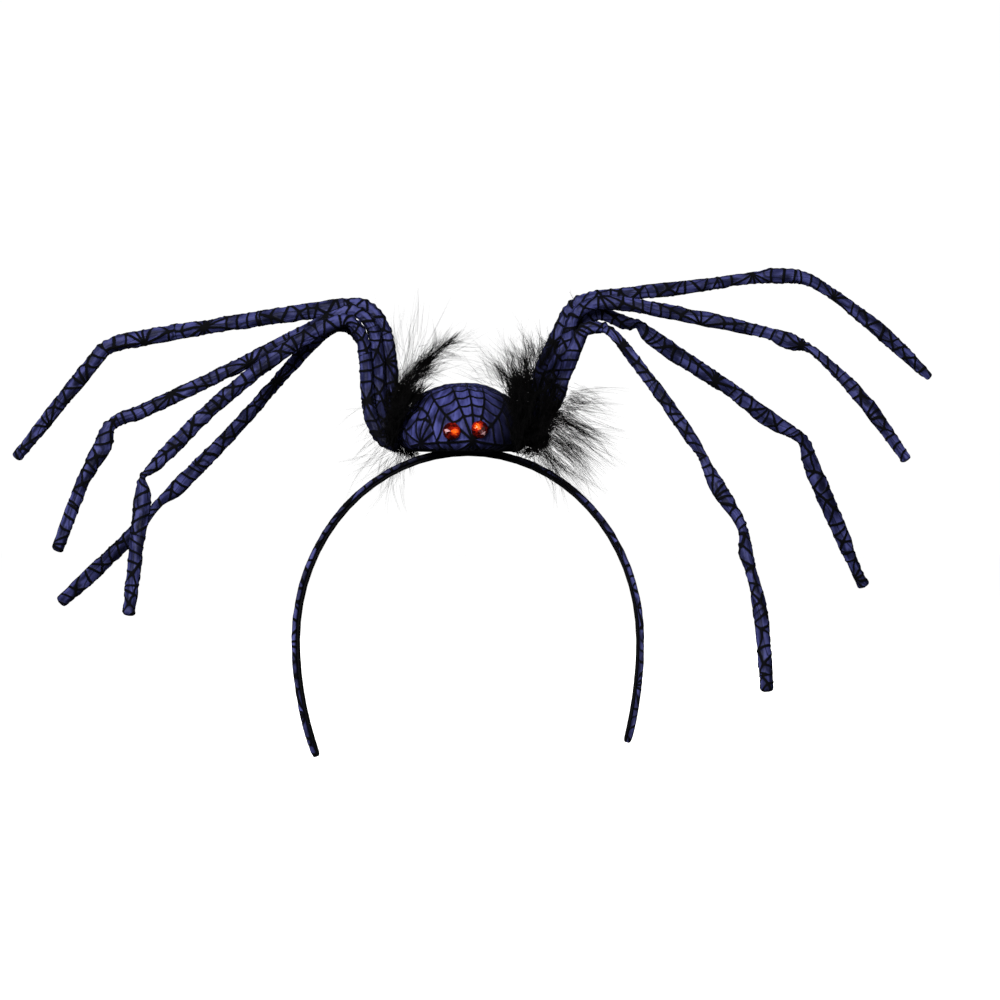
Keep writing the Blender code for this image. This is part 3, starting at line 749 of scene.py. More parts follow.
def printed_satin(name, shade, light, furrowed):
    """Blue satin with a raised black web print, painted sheen and painted shade; furrowed is how
    dark the painted shade in its long folds is.
    """
    material, tree = new_material(name)
    cloth = uv_wires(tree, "cloth")
    across, along = cloth
    border, _ = uv_wires(tree, "border")
    fray = patterned(cloth, FRAY) - 0.5
    web = thread_distance(*uv_wires(tree, "web"))
    distance = soft_least(web, border, THREAD_BLEND) + fray * FRAYING
    thread = ramp_wire(distance, THREAD_HALF + THREAD_EDGE, THREAD_HALF - THREAD_EDGE)
    # Painted satin sheen: streaks and patches blend the shade blue into the light blue
    streaks = patterned(cloth, STREAKS)
    painted_sheen = ramp_wire(streaks * STREAK_SHARE + patterned(cloth, PATCHES) * PATCH_SHARE, *PAINTED_SHEEN_RANGE)
    # Painted shade in the long folds' creases; the folds also sink in the bump
    furrow = ramp_wire(size_of(patterned(cloth, FOLDS) - FOLD_LINE), *FOLD_WIDTHS) * furrowed
    # Noise patches of painted shadow
    shadow_patches = ramp_wire(patterned(cloth, SHADOW_PATCHES), *SHADOW_RANGE) * SHADOW_DEPTH
    # All painted shade: patches, fold creases and the mesh's shade, towards the print's black
    dark = at_least(at_least(shadow_patches, furrow), attribute_wire(tree, "painted_shade"))
    weave = sine(across * (TAU * WEAVE_THREADS)) * sine(along * (TAU * WEAVE_THREADS)) * 0.5 + 0.5
    heights = weave * WEAVE_RISE + thread * THREAD_RISE
    heights = heights + patterned(cloth, CREASES) * CREASE_RISE - furrow * FURROW_SINK
    return finished(material, {
        "Base Color": mixed(thread, mixed(dark, mixed(painted_sheen, shade, light), INK_AND_SHADE_BLACK), INK_AND_SHADE_BLACK),
        "Normal": bumped(heights, 0.55, 0.4 * MM),
        "Roughness": thread * 0.35 + 0.42 + streaks * 0.08,
        "Specular IOR Level": 0.06,
        "Sheen Weight": 0.04,
        "Sheen Roughness": 0.35,
        "Sheen Tint": (0.35, 0.38, 0.9, 1.0),
    })


def lining_ribbon(name):
    """Black ribbed ribbon."""
    material, tree = new_material(name)
    cloth = uv_wires(tree, "cloth")
    ribs = sine(cloth[1] * (TAU / RIB_PITCH)) * 0.5 + 0.5
    fuzz = patterned(cloth, FUZZ)
    return finished(material, {
        "Base Color": mixed(fuzz, (0.0015, 0.0015, 0.002, 1.0), (0.006, 0.006, 0.007, 1.0)),
        "Normal": bumped(ribs * 0.7 + fuzz * 0.5, 0.6, 0.2 * MM),
        "Roughness": fuzz * 0.15 + 0.8,
        "Specular IOR Level": 0.04,
    })


def down_black(name):
    """Soft black feather down."""
    material, tree = new_material(name)
    clump = object_noise(tree, 260.0, 2.0)
    return finished(material, {
        "Base Color": mixed(clump, (0.0006, 0.0006, 0.0006, 1.0), (0.0035, 0.0032, 0.0035, 1.0)),
        "Roughness": clump * 0.25 + 0.55,
        "Specular IOR Level": 0.05,
    })


# The colours of the stones, from the darkest facets to those that mirror the room, and their glow
STONE_DEEP = (0.016, 0.0008, 0.001, 1.0)
STONE_RED = (0.30, 0.010, 0.003, 1.0)
STONE_ORANGE = (1.0, 0.13, 0.008, 1.0)
STONE_PALE = (0.62, 0.34, 0.36, 1.0)
STONE_EMBER = (1.0, 0.10, 0.006, 1.0)
NO_LIGHT = (0.0, 0.0, 0.0, 1.0)


def cut_glass(name):
    """Orange foil-backed glass: each facet has its own painted reflection and painted glow."""
    material, tree = new_material(name)
    sparkle = object_noise(tree, 700.0, 1.0)
    glow = attribute_wire(tree, "glow") + (sparkle - 0.5) * 0.5
    pale = attribute_wire(tree, "pale") + (sparkle - 0.5) * 0.3
    dark = mixed(ramp_wire(glow, 0.05, 0.42), STONE_DEEP, STONE_RED)
    warm = mixed(ramp_wire(glow, 0.42, 0.85), dark, STONE_ORANGE)
    return finished(material, {
        "Base Color": mixed(ramp_wire(pale, 0.30, 0.75), warm, STONE_PALE),
        # Painted glow: the stone gives off light, though it is no lamp
        "Emission Color": mixed(ramp_wire(glow, 0.45, 1.0), NO_LIGHT, STONE_EMBER),
        "Emission Strength": 0.45,
        "Roughness": sparkle * 0.06 + 0.03,
        "Specular IOR Level": 0.10,
        "Coat Weight": 0.06,
        "Coat Roughness": 0.03,
        "Coat IOR": 1.6,
    })


# The shade and the light blue of each piece, which the painted satin sheen blends
LEG_SHADE = (0.009, 0.010, 0.038, 1.0)
LEG_LIGHT = (0.048, 0.052, 0.168, 1.0)
BODY_SHADE = (0.021, 0.022, 0.086, 1.0)
BODY_LIGHT = (0.055, 0.060, 0.208, 1.0)
BAND_SHADE = (0.021, 0.022, 0.068, 1.0)
BAND_LIGHT = (0.059, 0.063, 0.198, 1.0)


# Legs in cloth

LEG_ROUND = 36
LEG_WEB_SCALE = 1.15
LEG_FURROWS = 0.75
# The legs' cloth is fuller in the bundle: by how much, how far along, and over what length
BUNDLE_PAD = 0.24
BUNDLE_LENGTH = 92.0
BUNDLE_FADE = 20.0
# Painted shade darkens the cloth towards the leg's root: how much, from how far along,
# over what length
ROOT_PAINTED_SHADE = 0.85
ROOT_PAINTED_SHADE_LENGTH = 26.0
ROOT_PAINTED_SHADE_FADE = 16.0
# The rounded tip: how far out each ring lies and how wide it is, in radii
TIP_ROUND = ((0.16, 0.97), (0.30, 0.88), (0.42, 0.72), (0.50, 0.50), (0.54, 0.24), (0.55, 0.05))
# The bend is read as a mean over this many steps
BEND_WINDOW = 9
# The legs' webs: where the first lies, how far past the tip they go, and their spread
LEG_WEB_FIRST = (-6.0, 10.0)
LEG_WEB_PAST = 12.0
LEG_WEB_EDGE = 0.05
LEG_WEB_LONGEST = 48.0
# Noises round a leg: how fine they are round it and along it, and how far apart two legs' lie
LegNoise = namedtuple("LegNoise", "round along apart")
LUMPS = LegNoise(0.9, 0.16, 7.3)
FINE_LUMPS = LegNoise(1.6, 0.45, 3.1)
LONG_FOLDS = LegNoise(2.3, 0.06, 5.9)
# How high they stand, in millimetres, and how far the whole sinks
LUMP_RISE = 0.30
FINE_RISE = 0.10
LUMP_SINK = 0.12
FOLD_RISE = 0.32
FOLD_TOP = 0.35
FOLD_SLOPE = 2.2
# Ripples where a bend squeezes the cloth, and the seam behind
SQUEEZE_GAIN = 9.0
SQUEEZE_LEAST = 0.01
RIPPLE_RISE = 0.32
RIPPLE_SINK = 0.1
RIPPLE_PITCH = 2.7
SEAM_WIDTH = 0.45
SEAM_RISE = 0.35


def leg_paths(side):
    """The legs of one side from front to back, each with its path."""
    legs = sorted((leg for leg in LEGS if leg.side == side), key=lambda leg: leg.order)
    paths = [smooth_path(leg_rows(leg), LEG_FINE_POINTS) for leg in legs]
    part_legs(paths)
    for path in paths:
        clear_body(path, side_sign(side))
    return zip(legs, paths)


def dress_leg(leg, path, material, seed):
    """A sewn cloth tube over the leg's wire: pinches, ripples at the bends and a seam behind."""
    along = arc_lengths(path)
    path = resample(path, along, int(along[-1] / (CLOTH_STEP * MM)) + 1)
    along = arc_lengths(path)
    ahead = unit(np.gradient(path[:, :3], axis=0))
    bend = np.gradient(ahead, axis=0) / (CLOTH_STEP * MM)
    window = np.ones(BEND_WINDOW) / BEND_WINDOW
    bend = np.column_stack([np.convolve(column, window, mode="same") for column in bend.T])
    tip = path[-1]
    outs, wides = np.array(TIP_ROUND).T
    caps = np.column_stack([tip[:3] + ahead[-1] * tip[3] * outs[:, None], tip[3] * wides])
    centres = np.vstack([path, caps])
    ahead = np.vstack([ahead, np.repeat(ahead[-1:], len(caps), axis=0)])
    bend = np.vstack([bend, np.zeros((len(caps), 3))])
    along = np.concatenate([along, along[-1] + outs * tip[3]]) / MM
    across = unit(np.cross(ahead, (0.0, 1.0, 0.0)))
    steps = np.arange(LEG_ROUND + 1) / LEG_ROUND
    turns = QUARTER + TAU * np.arange(LEG_ROUND + 1) / LEG_ROUND
    out = around(across, np.cross(across, ahead), turns, LEG_FLATNESS)
    girth = TAU * LEG_DIAMETER / 2 / MM
    flat = flat_places(steps * girth, along)
    draw = random.Random(seed)
    first = draw.uniform(*LEG_WEB_FIRST)
    spots = web_centres(draw, first, along[-1] + LEG_WEB_PAST, girth, LEG_WEB_EDGE, LEG_WEB_LONGEST)
    webs = web_places(flat, spots, seed) / LEG_WEB_SCALE
    inner = -(bend[:, None] * out).sum(axis=2) * MM
    packed = BUNDLE_PAD * share_of(BUNDLE_LENGTH - along, BUNDLE_FADE)[:, None]
    relief = thread_relief(webs) * THREAD_RELIEF + leg_ripples(flat, inner, seed) + packed
    points = centres[:, None, :3] + out * (centres[:, 3:] + relief * MM)[..., None]
    # Painted shade towards the root
    painted_shade = ROOT_PAINTED_SHADE * share_of(ROOT_PAINTED_SHADE_LENGTH - along, ROOT_PAINTED_SHADE_FADE)[:, None]
    node = f"leg_{leg.side}_{leg.number}"
    piece = cloth_object(node + "_cloth", points, flat, webs, material, painted_shade)
    settle(piece, node)


def leg_noise(kind, turn, along, seed):
    x, y = math.cos(turn) * kind.round, math.sin(turn) * kind.round
    return noise.noise(Vector((x, y, along * kind.along + seed * kind.apart)))


def leg_ripples(flat, inner, seed):
    """Lumps of the padding, and folds across the inner side of each bend, in millimetres."""
    rows, cols = flat.shape[:2]
    girth = flat[0, -1, 0]
    ripples = np.zeros((rows, cols))
    for row in range(rows):
        along = flat[row, 0, 1]
        for col in range(cols - 1):
            turn = TAU * flat[row, col, 0] / girth
            lump, fine, fold = (
                leg_noise(kind, turn, along, seed) for kind in (LUMPS, FINE_LUMPS, LONG_FOLDS))
            fold = FOLD_RISE * (FOLD_TOP - abs(fold) * FOLD_SLOPE)
            ripples[row, col] = lump * LUMP_RISE + fine * FINE_RISE - LUMP_SINK + fold
            squeeze = min(max(inner[row, col] * SQUEEZE_GAIN, 0.0), 1.0)
            if squeeze > SQUEEZE_LEAST:
                ripple = RIPPLE_RISE * math.sin(along * TAU / RIPPLE_PITCH) - RIPPLE_SINK
                ripples[row, col] += squeeze * ripple
    off_seam = np.minimum(flat[..., 0], girth - flat[..., 0])
    ripples += np.exp(-(off_seam / SEAM_WIDTH) ** 2) * SEAM_RISE
    ripples[:, -1] = ripples[:, 0]
    return ripples


def dress_legs():
    satin = printed_satin("leg_satin", LEG_SHADE, LEG_LIGHT, LEG_FURROWS)
    legs = [row for side in ("left", "right") for row in leg_paths(side)]
    for seed, (leg, path) in enumerate(legs, 1):
        dress_leg(leg, path, satin, seed)


dress_legs()


# The band in cloth

BAND_ROUND = 44
BAND_STEPS = 620
BAND_WEB_SCALE = 1.3
BAND_FURROWS = 0.3
# The print's relief on the band, as a share of the legs'
BAND_RELIEF = 0.35
# Painted shade darkens the band towards its crown: how much, from how far out, over what width
BAND_PAINTED_SHADE = 0.9
BAND_PAINTED_SHADE_REACH = 46.0
BAND_PAINTED_SHADE_FADE = 22.0
# The band's webs: where the first lies, how far past the end they go, and their spread
BAND_WEB_SEED = 41
BAND_WEB_FIRST = -4.0
BAND_WEB_PAST = 10.0
BAND_WEB_EDGE = 0.1
BAND_WEB_LONGEST = 34.0
# Each strip's end is rounded off on its free face, over this many thicknesses, down to a share
# of the half thickness there
END_ROUNDING = 1.8
END_ROUND_SHARE = 0.15
# The strips' lumps: how fine they are across and along, how far they stand out at the edges as
# a share; then each strip's place in the noise and the height of its lumps
STRIP_LUMPS_ACROSS = 0.25
STRIP_LUMPS_ALONG = 0.12
EDGE_LUMPS = 0.5
BAND_LUMPS = (31.0, 0.18)
LINING_LUMPS = (57.0, 0.05)
# The lining's cloth fills most of the fit gap under the band
LINING_CLEARANCE = 0.02 * MM


def strip_grid(thickness, inset, margin, lumps, face):
    """A closed grid round a flat strip along the band, with its flat cloth places.

    One face is free, the outer one (1) or the inner one (-1): its lumps and round ends are there.
    """
    rows = np.array(band_line(inset + thickness / 2))
    along = arc_lengths(rows[:, :2])
    rows = np.column_stack([rows, off_ends(along, BAND_END_LENGTH, BAND_END_SHARE)])
    rows = resample(rows, along, BAND_STEPS)
    along = np.linspace(0.0, along[-1], BAND_STEPS)
    normal = rows[:, 2:4]
    turns = -QUARTER + TAU * np.arange(BAND_ROUND + 1) / BAND_ROUND
    side_y = np.array([squared(math.cos(turn), STRIP_EDGE_POWER) for turn in turns])
    side_n = np.array([squared(math.sin(turn), STRIP_FACE_POWER) for turn in turns])
    free = side_n * face > 0.0
    rounded = off_ends(along, END_ROUNDING * thickness, END_ROUND_SHARE)
    rounded = np.where(free, rounded[:, None], 1.0)
    half_depth = BAND_DEPTH / 2 - margin
    girth = arc_lengths(np.column_stack([side_y * half_depth, side_n * thickness / 2])) / MM
    seed, height = lumps
    bulge = np.array([[
        noise.noise(Vector((u * STRIP_LUMPS_ACROSS, v * STRIP_LUMPS_ALONG, seed)))
        for u in girth[:-1]] for v in along / MM])
    bulge = np.column_stack([bulge, bulge[:, 0]]) * height * MM
    lift = side_n * thickness / 2 * rounded + bulge * (face * free)
    points = np.stack([
        rows[:, :1] + normal[:, :1] * lift,
        side_y * half_depth * rows[:, 4:] + bulge * side_y * EDGE_LUMPS,
        rows[:, 1:2] + normal[:, 1:] * lift,
    ], axis=2)
    return points, flat_places(girth, along / MM), normal, side_n, side_y


def dress_band():
    points, flat, normal, side_n, side_y = strip_grid(BAND_THICKNESS, 0.0, 0.0, BAND_LUMPS, 1)
    _, length = flat[-1, 0]
    spots = web_centres(
        random.Random(BAND_WEB_SEED), BAND_WEB_FIRST, length + BAND_WEB_PAST, flat[0, -1, 0],
        BAND_WEB_EDGE, BAND_WEB_LONGEST)
    webs = web_places(flat, spots, BAND_WEB_SEED) / BAND_WEB_SCALE
    relief = thread_relief(webs) * THREAD_RELIEF * BAND_RELIEF * MM
    outer = np.maximum(side_n, 0.0)
    points[..., 0] += normal[:, :1] * outer * relief
    points[..., 2] += normal[:, 1:] * outer * relief
    points[..., 1] += side_y * relief
    satin = printed_satin("band_satin", BAND_SHADE, BAND_LIGHT, BAND_FURROWS)
    # Painted shade towards the crown
    off_crown = np.abs(points[:, :1, 0]) / MM
    painted_shade = BAND_PAINTED_SHADE * share_of(BAND_PAINTED_SHADE_REACH - off_crown, BAND_PAINTED_SHADE_FADE)
    piece = cloth_object("headband_cloth", points, flat, webs, satin, painted_shade)
    settle(piece, "headband")


def line_band():
    thickness = LINING_THICKNESS + PIECE_GAP
    inset = BAND_THICKNESS + LINING_CLEARANCE
    points, flat, *_ = strip_grid(thickness, inset, LINING_MARGIN, LINING_LUMPS, -1)
    webs = np.zeros((flat.shape[0] - 1, flat.shape[1] - 1, 4, 3))
    piece = cloth_object("lining_ribbon", points, flat, webs, lining_ribbon("ribbon_black"), 0.0)
    settle(piece, "band_lining")


dress_band()
line_band()


# The stuffed body

BODY_ROUND = 400
BODY_ROWS = 120
BODY_WEB_SCALE = 1.2
BODY_FURROWS = 0.15
# The print's relief on the body, against the legs'
BODY_RELIEF = 1.5
# The body's cloth laid flat is this far round, in millimetres
BODY_CLOTH_GIRTH = 165.0
# Painted shade darkens the cloth towards the rim and on the right flank: how much, and over
# what lengths
RIM_PAINTED_SHADE = 1.25
RIM_PAINTED_SHADE_REACH = 2.2
FLANK_PAINTED_SHADE = 0.92
FLANK_PAINTED_SHADE_START = 4.0
FLANK_PAINTED_SHADE_FADE = 11.0
# Noises of the stuffing: how fine, and how high in millimetres
BODY_LUMPS = ((0.10, 0.55), (0.28, 0.22))
# Puckers at the rim: their count, how far up they reach, how they stray, rise and sink
PUCKERS = 52
PUCKER_REACH = 3.2
PUCKER_STRAY = (0.08, 5.0)
PUCKER_RISE = 0.38
PUCKER_SINK = 0.35
# Rings of the underside, as shares of the rim; a place in a web where no thread runs
UNDERSIDE_SHARES = (0.02, 0.25, 0.5, 0.7, 0.85, 0.93, 0.975)
PLAIN_CLOTH = 3.1
# The underside's seat is this much deeper than the band on each side, and then falls away
SEAT_MARGIN = 1.2 * MM
SEAT_FADE = 1.0 * MM
# Short steps on the body, along which a web's two axes are read
STEP_UP = 0.03
STEP_TURN = 0.01
LEAST_WIDTH = 0.05
LEAST_REACH = 1e-9
# Webs on the body: their place as a turn from the front (0) towards +X, in degrees, and the
# share of the profile's length up from the base rim; then the web's turn and weight.
BodyWeb = namedtuple("BodyWeb", "turn up spin weight")
BODY_WEBS = (
    BodyWeb(8.5, 0.16, 88.0, 0.62),
    BodyWeb(-41.0, 0.13, 52.0, 1.15),
    BodyWeb(-85.0, 0.22, 9.0, 1.0),
    BodyWeb(78.0, 0.12, 2.0, 1.3),
    BodyWeb(115.0, 0.30, 13.0, 1.0),
    BodyWeb(160.0, 0.62, 5.0, 1.0),
    BodyWeb(178.0, 0.08, 1.0, 1.0),
    BodyWeb(-135.0, 0.45, 16.0, 1.0),
    BodyWeb(165.0, 0.93, 7.0, 1.1),
)


def body_profile():
    """Smooth rows of share of height and share of width up the body, with their arc length."""
    rows = [(row.height * BODY_HEIGHT, row.width * BODY_HALF_WIDTH, 0.0) for row in BODY_PROFILE]
    rows.append((BODY_HEIGHT, 0.0, 0.0))
    fine = smooth_path(rows, BODY_ROWS)
    fine[:, 1] = np.maximum(fine[:, 1], 0.0)
    return fine[:, 0] / BODY_HEIGHT, fine[:, 1] / BODY_HALF_WIDTH, arc_lengths(fine)


def body_point(turn, height, width):
    """A place on the body: the turn is measured from the front towards +X."""
    return Vector((
        BODY_SHIFT + BODY_HALF_WIDTH * width * math.sin(turn),
        -BODY_HALF_DEPTH * width * math.cos(turn),
        BODY_BASE + BODY_HEIGHT * height,
    ))


def dress_body():
    profile = body_profile()
    heights, widths, along = profile
    turns = math.pi + TAU * np.arange(BODY_ROUND + 1) / BODY_ROUND
    points = np.stack(np.broadcast_arrays(
        BODY_SHIFT + BODY_HALF_WIDTH * widths[:, None] * np.sin(turns),
        -BODY_HALF_DEPTH * widths[:, None] * np.cos(turns),
        (BODY_BASE + BODY_HEIGHT * heights)[:, None],
    ), axis=2)
    normals = unit(np.cross(np.gradient(points, axis=1), np.gradient(points, axis=0)))
    if (normals[len(along) // 2, :, 0] * np.sin(turns)).sum() < 0.0:
        normals = -normals
    flat = flat_places(np.arange(BODY_ROUND + 1) / BODY_ROUND * BODY_CLOTH_GIRTH, along / MM)
    webs = body_web_places(points, profile) / BODY_WEB_SCALE
    # Painted shade at the rim and on the right flank
    rim = np.exp(-((along / MM) / RIM_PAINTED_SHADE_REACH) ** 2)[:, None]
    flank = FLANK_PAINTED_SHADE * share_of(points[..., 0] / MM - FLANK_PAINTED_SHADE_START, FLANK_PAINTED_SHADE_FADE)
    painted_shade = np.maximum(np.clip(RIM_PAINTED_SHADE * rim, 0.0, 1.0), flank)
    relief = thread_relief(webs) * THREAD_RELIEF * BODY_RELIEF + body_ripples(points, along, turns)
    points = points + normals * (relief * MM)[..., None]
    points = seat_on_band(np.concatenate([body_underside(points[0]), points[:-1]]))
    points[:, -1] = points[:, 0]
    under = len(UNDERSIDE_SHARES)
    flat = np.concatenate([np.repeat(flat[:1], under, axis=0), flat[:-1]])
    plain = np.repeat(webs[:1] * 0.0 + PLAIN_CLOTH, under, axis=0)
    webs = np.concatenate([plain, webs[:-1]])
    # The underside is wholly in painted shade
    painted_shade = np.concatenate([np.ones((under, painted_shade.shape[1])), painted_shade[:-1]])
    satin = printed_satin("body_satin", BODY_SHADE, BODY_LIGHT, BODY_FURROWS)
    piece = cloth_object("spider_body_cloth", points, flat, webs, satin, painted_shade)
    settle(piece, "spider_body")


def body_web_frames(profile):
    """Each web's centre on the body in millimetres and its two axes there."""
    heights, widths, along = profile
    frames = []
    for web in BODY_WEBS:
        turn = math.radians(web.turn)
        height, width = (
            float(np.interp(web.up * along[-1], along, row)) for row in (heights, widths))
        spot = body_point(turn, height, width)
        above = min(height + STEP_UP, 1.0)
        up = (body_point(turn, above, float(np.interp(above, heights, widths))) - spot).normalized()
        wide = max(width, LEAST_WIDTH)
        one, other = (body_point(turn + step, height, wide) for step in (STEP_TURN, -STEP_TURN))
        right = (one - other).normalized()
        up = (up - right * up.dot(right)).normalized()
        frames.append((np.array(spot) / MM, np.array(right), np.array(up)))
    return frames


def body_web_places(points, profile):
    """Each face corner, seen flat on from the web that is nearest to the face, in millimetres."""
    corners = face_corners(points) / MM
    middle = corners.mean(axis=2)
    frames = body_web_frames(profile)
    weights = np.array([web.weight for web in BODY_WEBS])
    far = np.stack([np.linalg.norm(middle - spot, axis=2) for spot, _, _ in frames], axis=2)
    chosen = (far * weights).argmin(axis=2)
    reach = np.stack([np.linalg.norm(corners - spot, axis=3) for spot, _, _ in frames], axis=3)
    webs = np.zeros(corners.shape[:3] + (3,))
    webs[..., 2] = border_distance(reach, weights, chosen) + BORDER_THINNING
    for index, (web, (spot, right, up)) in enumerate(zip(BODY_WEBS, frames)):
        local = corners - spot
        x, y = local @ right, local @ up
        span = np.linalg.norm(local, axis=3) / np.maximum(np.hypot(x, y), LEAST_REACH)
        x, y = x * span, y * span
        cos, sin = math.cos(math.radians(web.spin)), math.sin(math.radians(web.spin))
        mine = (chosen == index)[..., None]
        webs[..., 0] += np.where(mine, x * cos + y * sin, 0.0)
        webs[..., 1] += np.where(mine, y * cos - x * sin, 0.0)
    return webs


def body_ripples(points, along, turns):
    """Soft lumps of the stuffing and puckers gathered at the base rim, in millimetres."""
    rows, cols = points.shape[:2]
    ripples = np.zeros((rows, cols))
    for row in range(rows):
        rim = math.exp(-((along[row] / MM) / PUCKER_REACH) ** 2)
        for col in range(cols - 1):
            spot = Vector(points[row, col]) / MM
            lump = sum(noise.noise(spot * fine) * rise for fine, rise in BODY_LUMPS)
            stray = noise.noise(spot * PUCKER_STRAY[0]) * PUCKER_STRAY[1]
            pucker = math.sin(turns[col] * PUCKERS + stray)
            ripples[row, col] = lump + rim * (PUCKER_RISE * pucker - PUCKER_SINK)
    ripples[:, -1] = ripples[:, 0]
    return ripples


def body_underside(rim):
    """Rows from the middle of the underside out to the base rim."""
    centre = np.array([BODY_SHIFT, 0.0, BODY_BASE])
    rows = np.array([centre + (rim - centre) * share for share in UNDERSIDE_SHARES])
    rows[..., 2] = BODY_BASE
    return rows


def seat_on_band(points):
    """Raise the underside where the band runs beneath it, to lie on the band with the fit gap."""
    line = np.array(band_line(-PIECE_GAP))
    top = np.interp(points[..., 0], line[:, 0], line[:, 1])
    inside = share_of(BAND_DEPTH / 2 + SEAT_MARGIN - np.abs(points[..., 1]), SEAT_FADE)
    low = BODY_BASE + (top - BODY_BASE) * inside
    near = np.abs(points[..., 0] - BODY_SHIFT) < BODY_HALF_WIDTH
    points[..., 2] = np.where(near, np.maximum(points[..., 2], low), points[..., 2])
    return points


dress_body()


# Eyes of cut glass

# The glow and the pale reflection in each stone lie towards these directions on its face.
Stone = namedtuple("Stone", "node out rise seed glow pale")
STONES = (
    Stone("eye_left", -1.0, -1.0, 5, (0.80, -0.05), (-0.95, 0.10)),
    Stone("eye_right", 1.0, 1.0, 9, (-0.35, 0.65), (0.75, -0.60)),
)
STONE_FACETS = 16
# Rings of a stone from its back: share of the radius, share of the height, turn in facets.
STONE_RINGS = (
    (0.80, 0.00, 0.0), (1.00, 0.28, 0.0), (1.00, 0.40, 0.0),
    (0.86, 0.66, 0.5), (0.64, 0.88, 0.0), (0.46, 1.00, 0.5),
)
# The middle of the table stands this much higher
TABLE_CROWN = 1.02
# Facets below this share of the height are in the shade of the girdle, with this glow
GIRDLE_SHARE = 0.35
GIRDLE_GLOW = 0.05
# How far out on the face the glow and the pale reflection lie, and how wide they are
Patch = namedtuple("Patch", "out width low high")
GLOW_PATCH = Patch(0.5, 0.42, 0.55, 1.15)
PALE_PATCH = Patch(0.66, 0.30, 0.5, 1.0)
STRAY_GLOW = 0.16


def stone_faces(verts):
    """Facets between the rings of a stone, its back and its table; the last point is the top."""
    count = STONE_FACETS
    faces = [tuple(range(count))[::-1]]
    for level, (below, above) in enumerate(zip(STONE_RINGS, STONE_RINGS[1:])):
        lean = above[2] - below[2]
        for facet in range(count):
            a = level * count + facet
            b = level * count + (facet + 1) % count
            c, d = a + count, b + count
            if lean == 0.0:
                faces.append((a, b, d, c))
            elif lean > 0.0:
                faces += [(a, b, c), (b, d, c)]
            else:
                faces += [(a, d, c), (a, b, d)]
    top = (len(STONE_RINGS) - 1) * count
    faces += [(top + facet, top + (facet + 1) % count, len(verts) - 1) for facet in range(count)]
    return faces


def patch_strength(spot, towards, patch, draw):
    """How strongly a facet shows a patch of light that lies towards a direction."""
    near = math.hypot(spot[0] - towards[0] * patch.out, spot[1] - towards[1] * patch.out)
    return math.exp(-(near / patch.width) ** 2) * draw.uniform(patch.low, patch.high)


def build_stone(stone, material):
    """A round cut stone: a girdle, bezel and star facets, and a table."""
    x = EYE_CENTRE + stone.out * (EYE_DIAMETER + EYE_APART) / 2
    z = BODY_BASE + EYE_RISE + stone.rise * EYE_STAGGER / 2
    place, normal = eye_placement(x, z)
    draw = random.Random(stone.seed)
    radius = EYE_DIAMETER / 2
    verts = []
    for wide, high, shift in STONE_RINGS:
        for facet in range(STONE_FACETS):
            angle = TAU * (facet + shift) / STONE_FACETS
            across, up = (way(angle) * wide * radius for way in (math.cos, math.sin))
            verts.append((across, up, high * EYE_HEIGHT))
    verts.append((0.0, 0.0, EYE_HEIGHT * TABLE_CROWN))
    mesh = bpy.data.meshes.new(stone.node + "_glass")
    mesh.from_pydata(verts, [], stone_faces(verts))
    turn = normal.to_track_quat("-Y", "Z").to_matrix()
    lay = Matrix.Rotation(-QUARTER, 3, "X").inverted()
    mesh.transform(Matrix.Translation(place + normal * PIECE_GAP) @ (turn @ lay).to_4x4())
    # Each facet's painted glow and painted pale reflection, by where it lies on the stone's face
    glows, pales = [], []
    for polygon in mesh.polygons:
        spot = Vector(polygon.center) - place
        face = (spot.x / radius, spot.z / radius)
        deep = spot.dot(normal) < GIRDLE_SHARE * EYE_HEIGHT
        glow = patch_strength(face, stone.glow, GLOW_PATCH, draw) + draw.uniform(0.0, STRAY_GLOW)
        pale = patch_strength(face, stone.pale, PALE_PATCH, draw)
        glows.append(GIRDLE_GLOW if deep else glow)
        pales.append(0.0 if deep else pale)
    for title, values in (("glow", glows), ("pale", pales)):
        mesh.attributes.new(title, "FLOAT", "FACE").data.foreach_set("value", values)
    mesh.materials.append(material)
    flip_if_inside_out(mesh)
    settle(placed(stone.node + "_glass", mesh), stone.node)


glass = cut_glass("orange_glass")
for stone in STONES:
    build_stone(stone, glass)


# Feathers

STRAND_KNOTS = 8

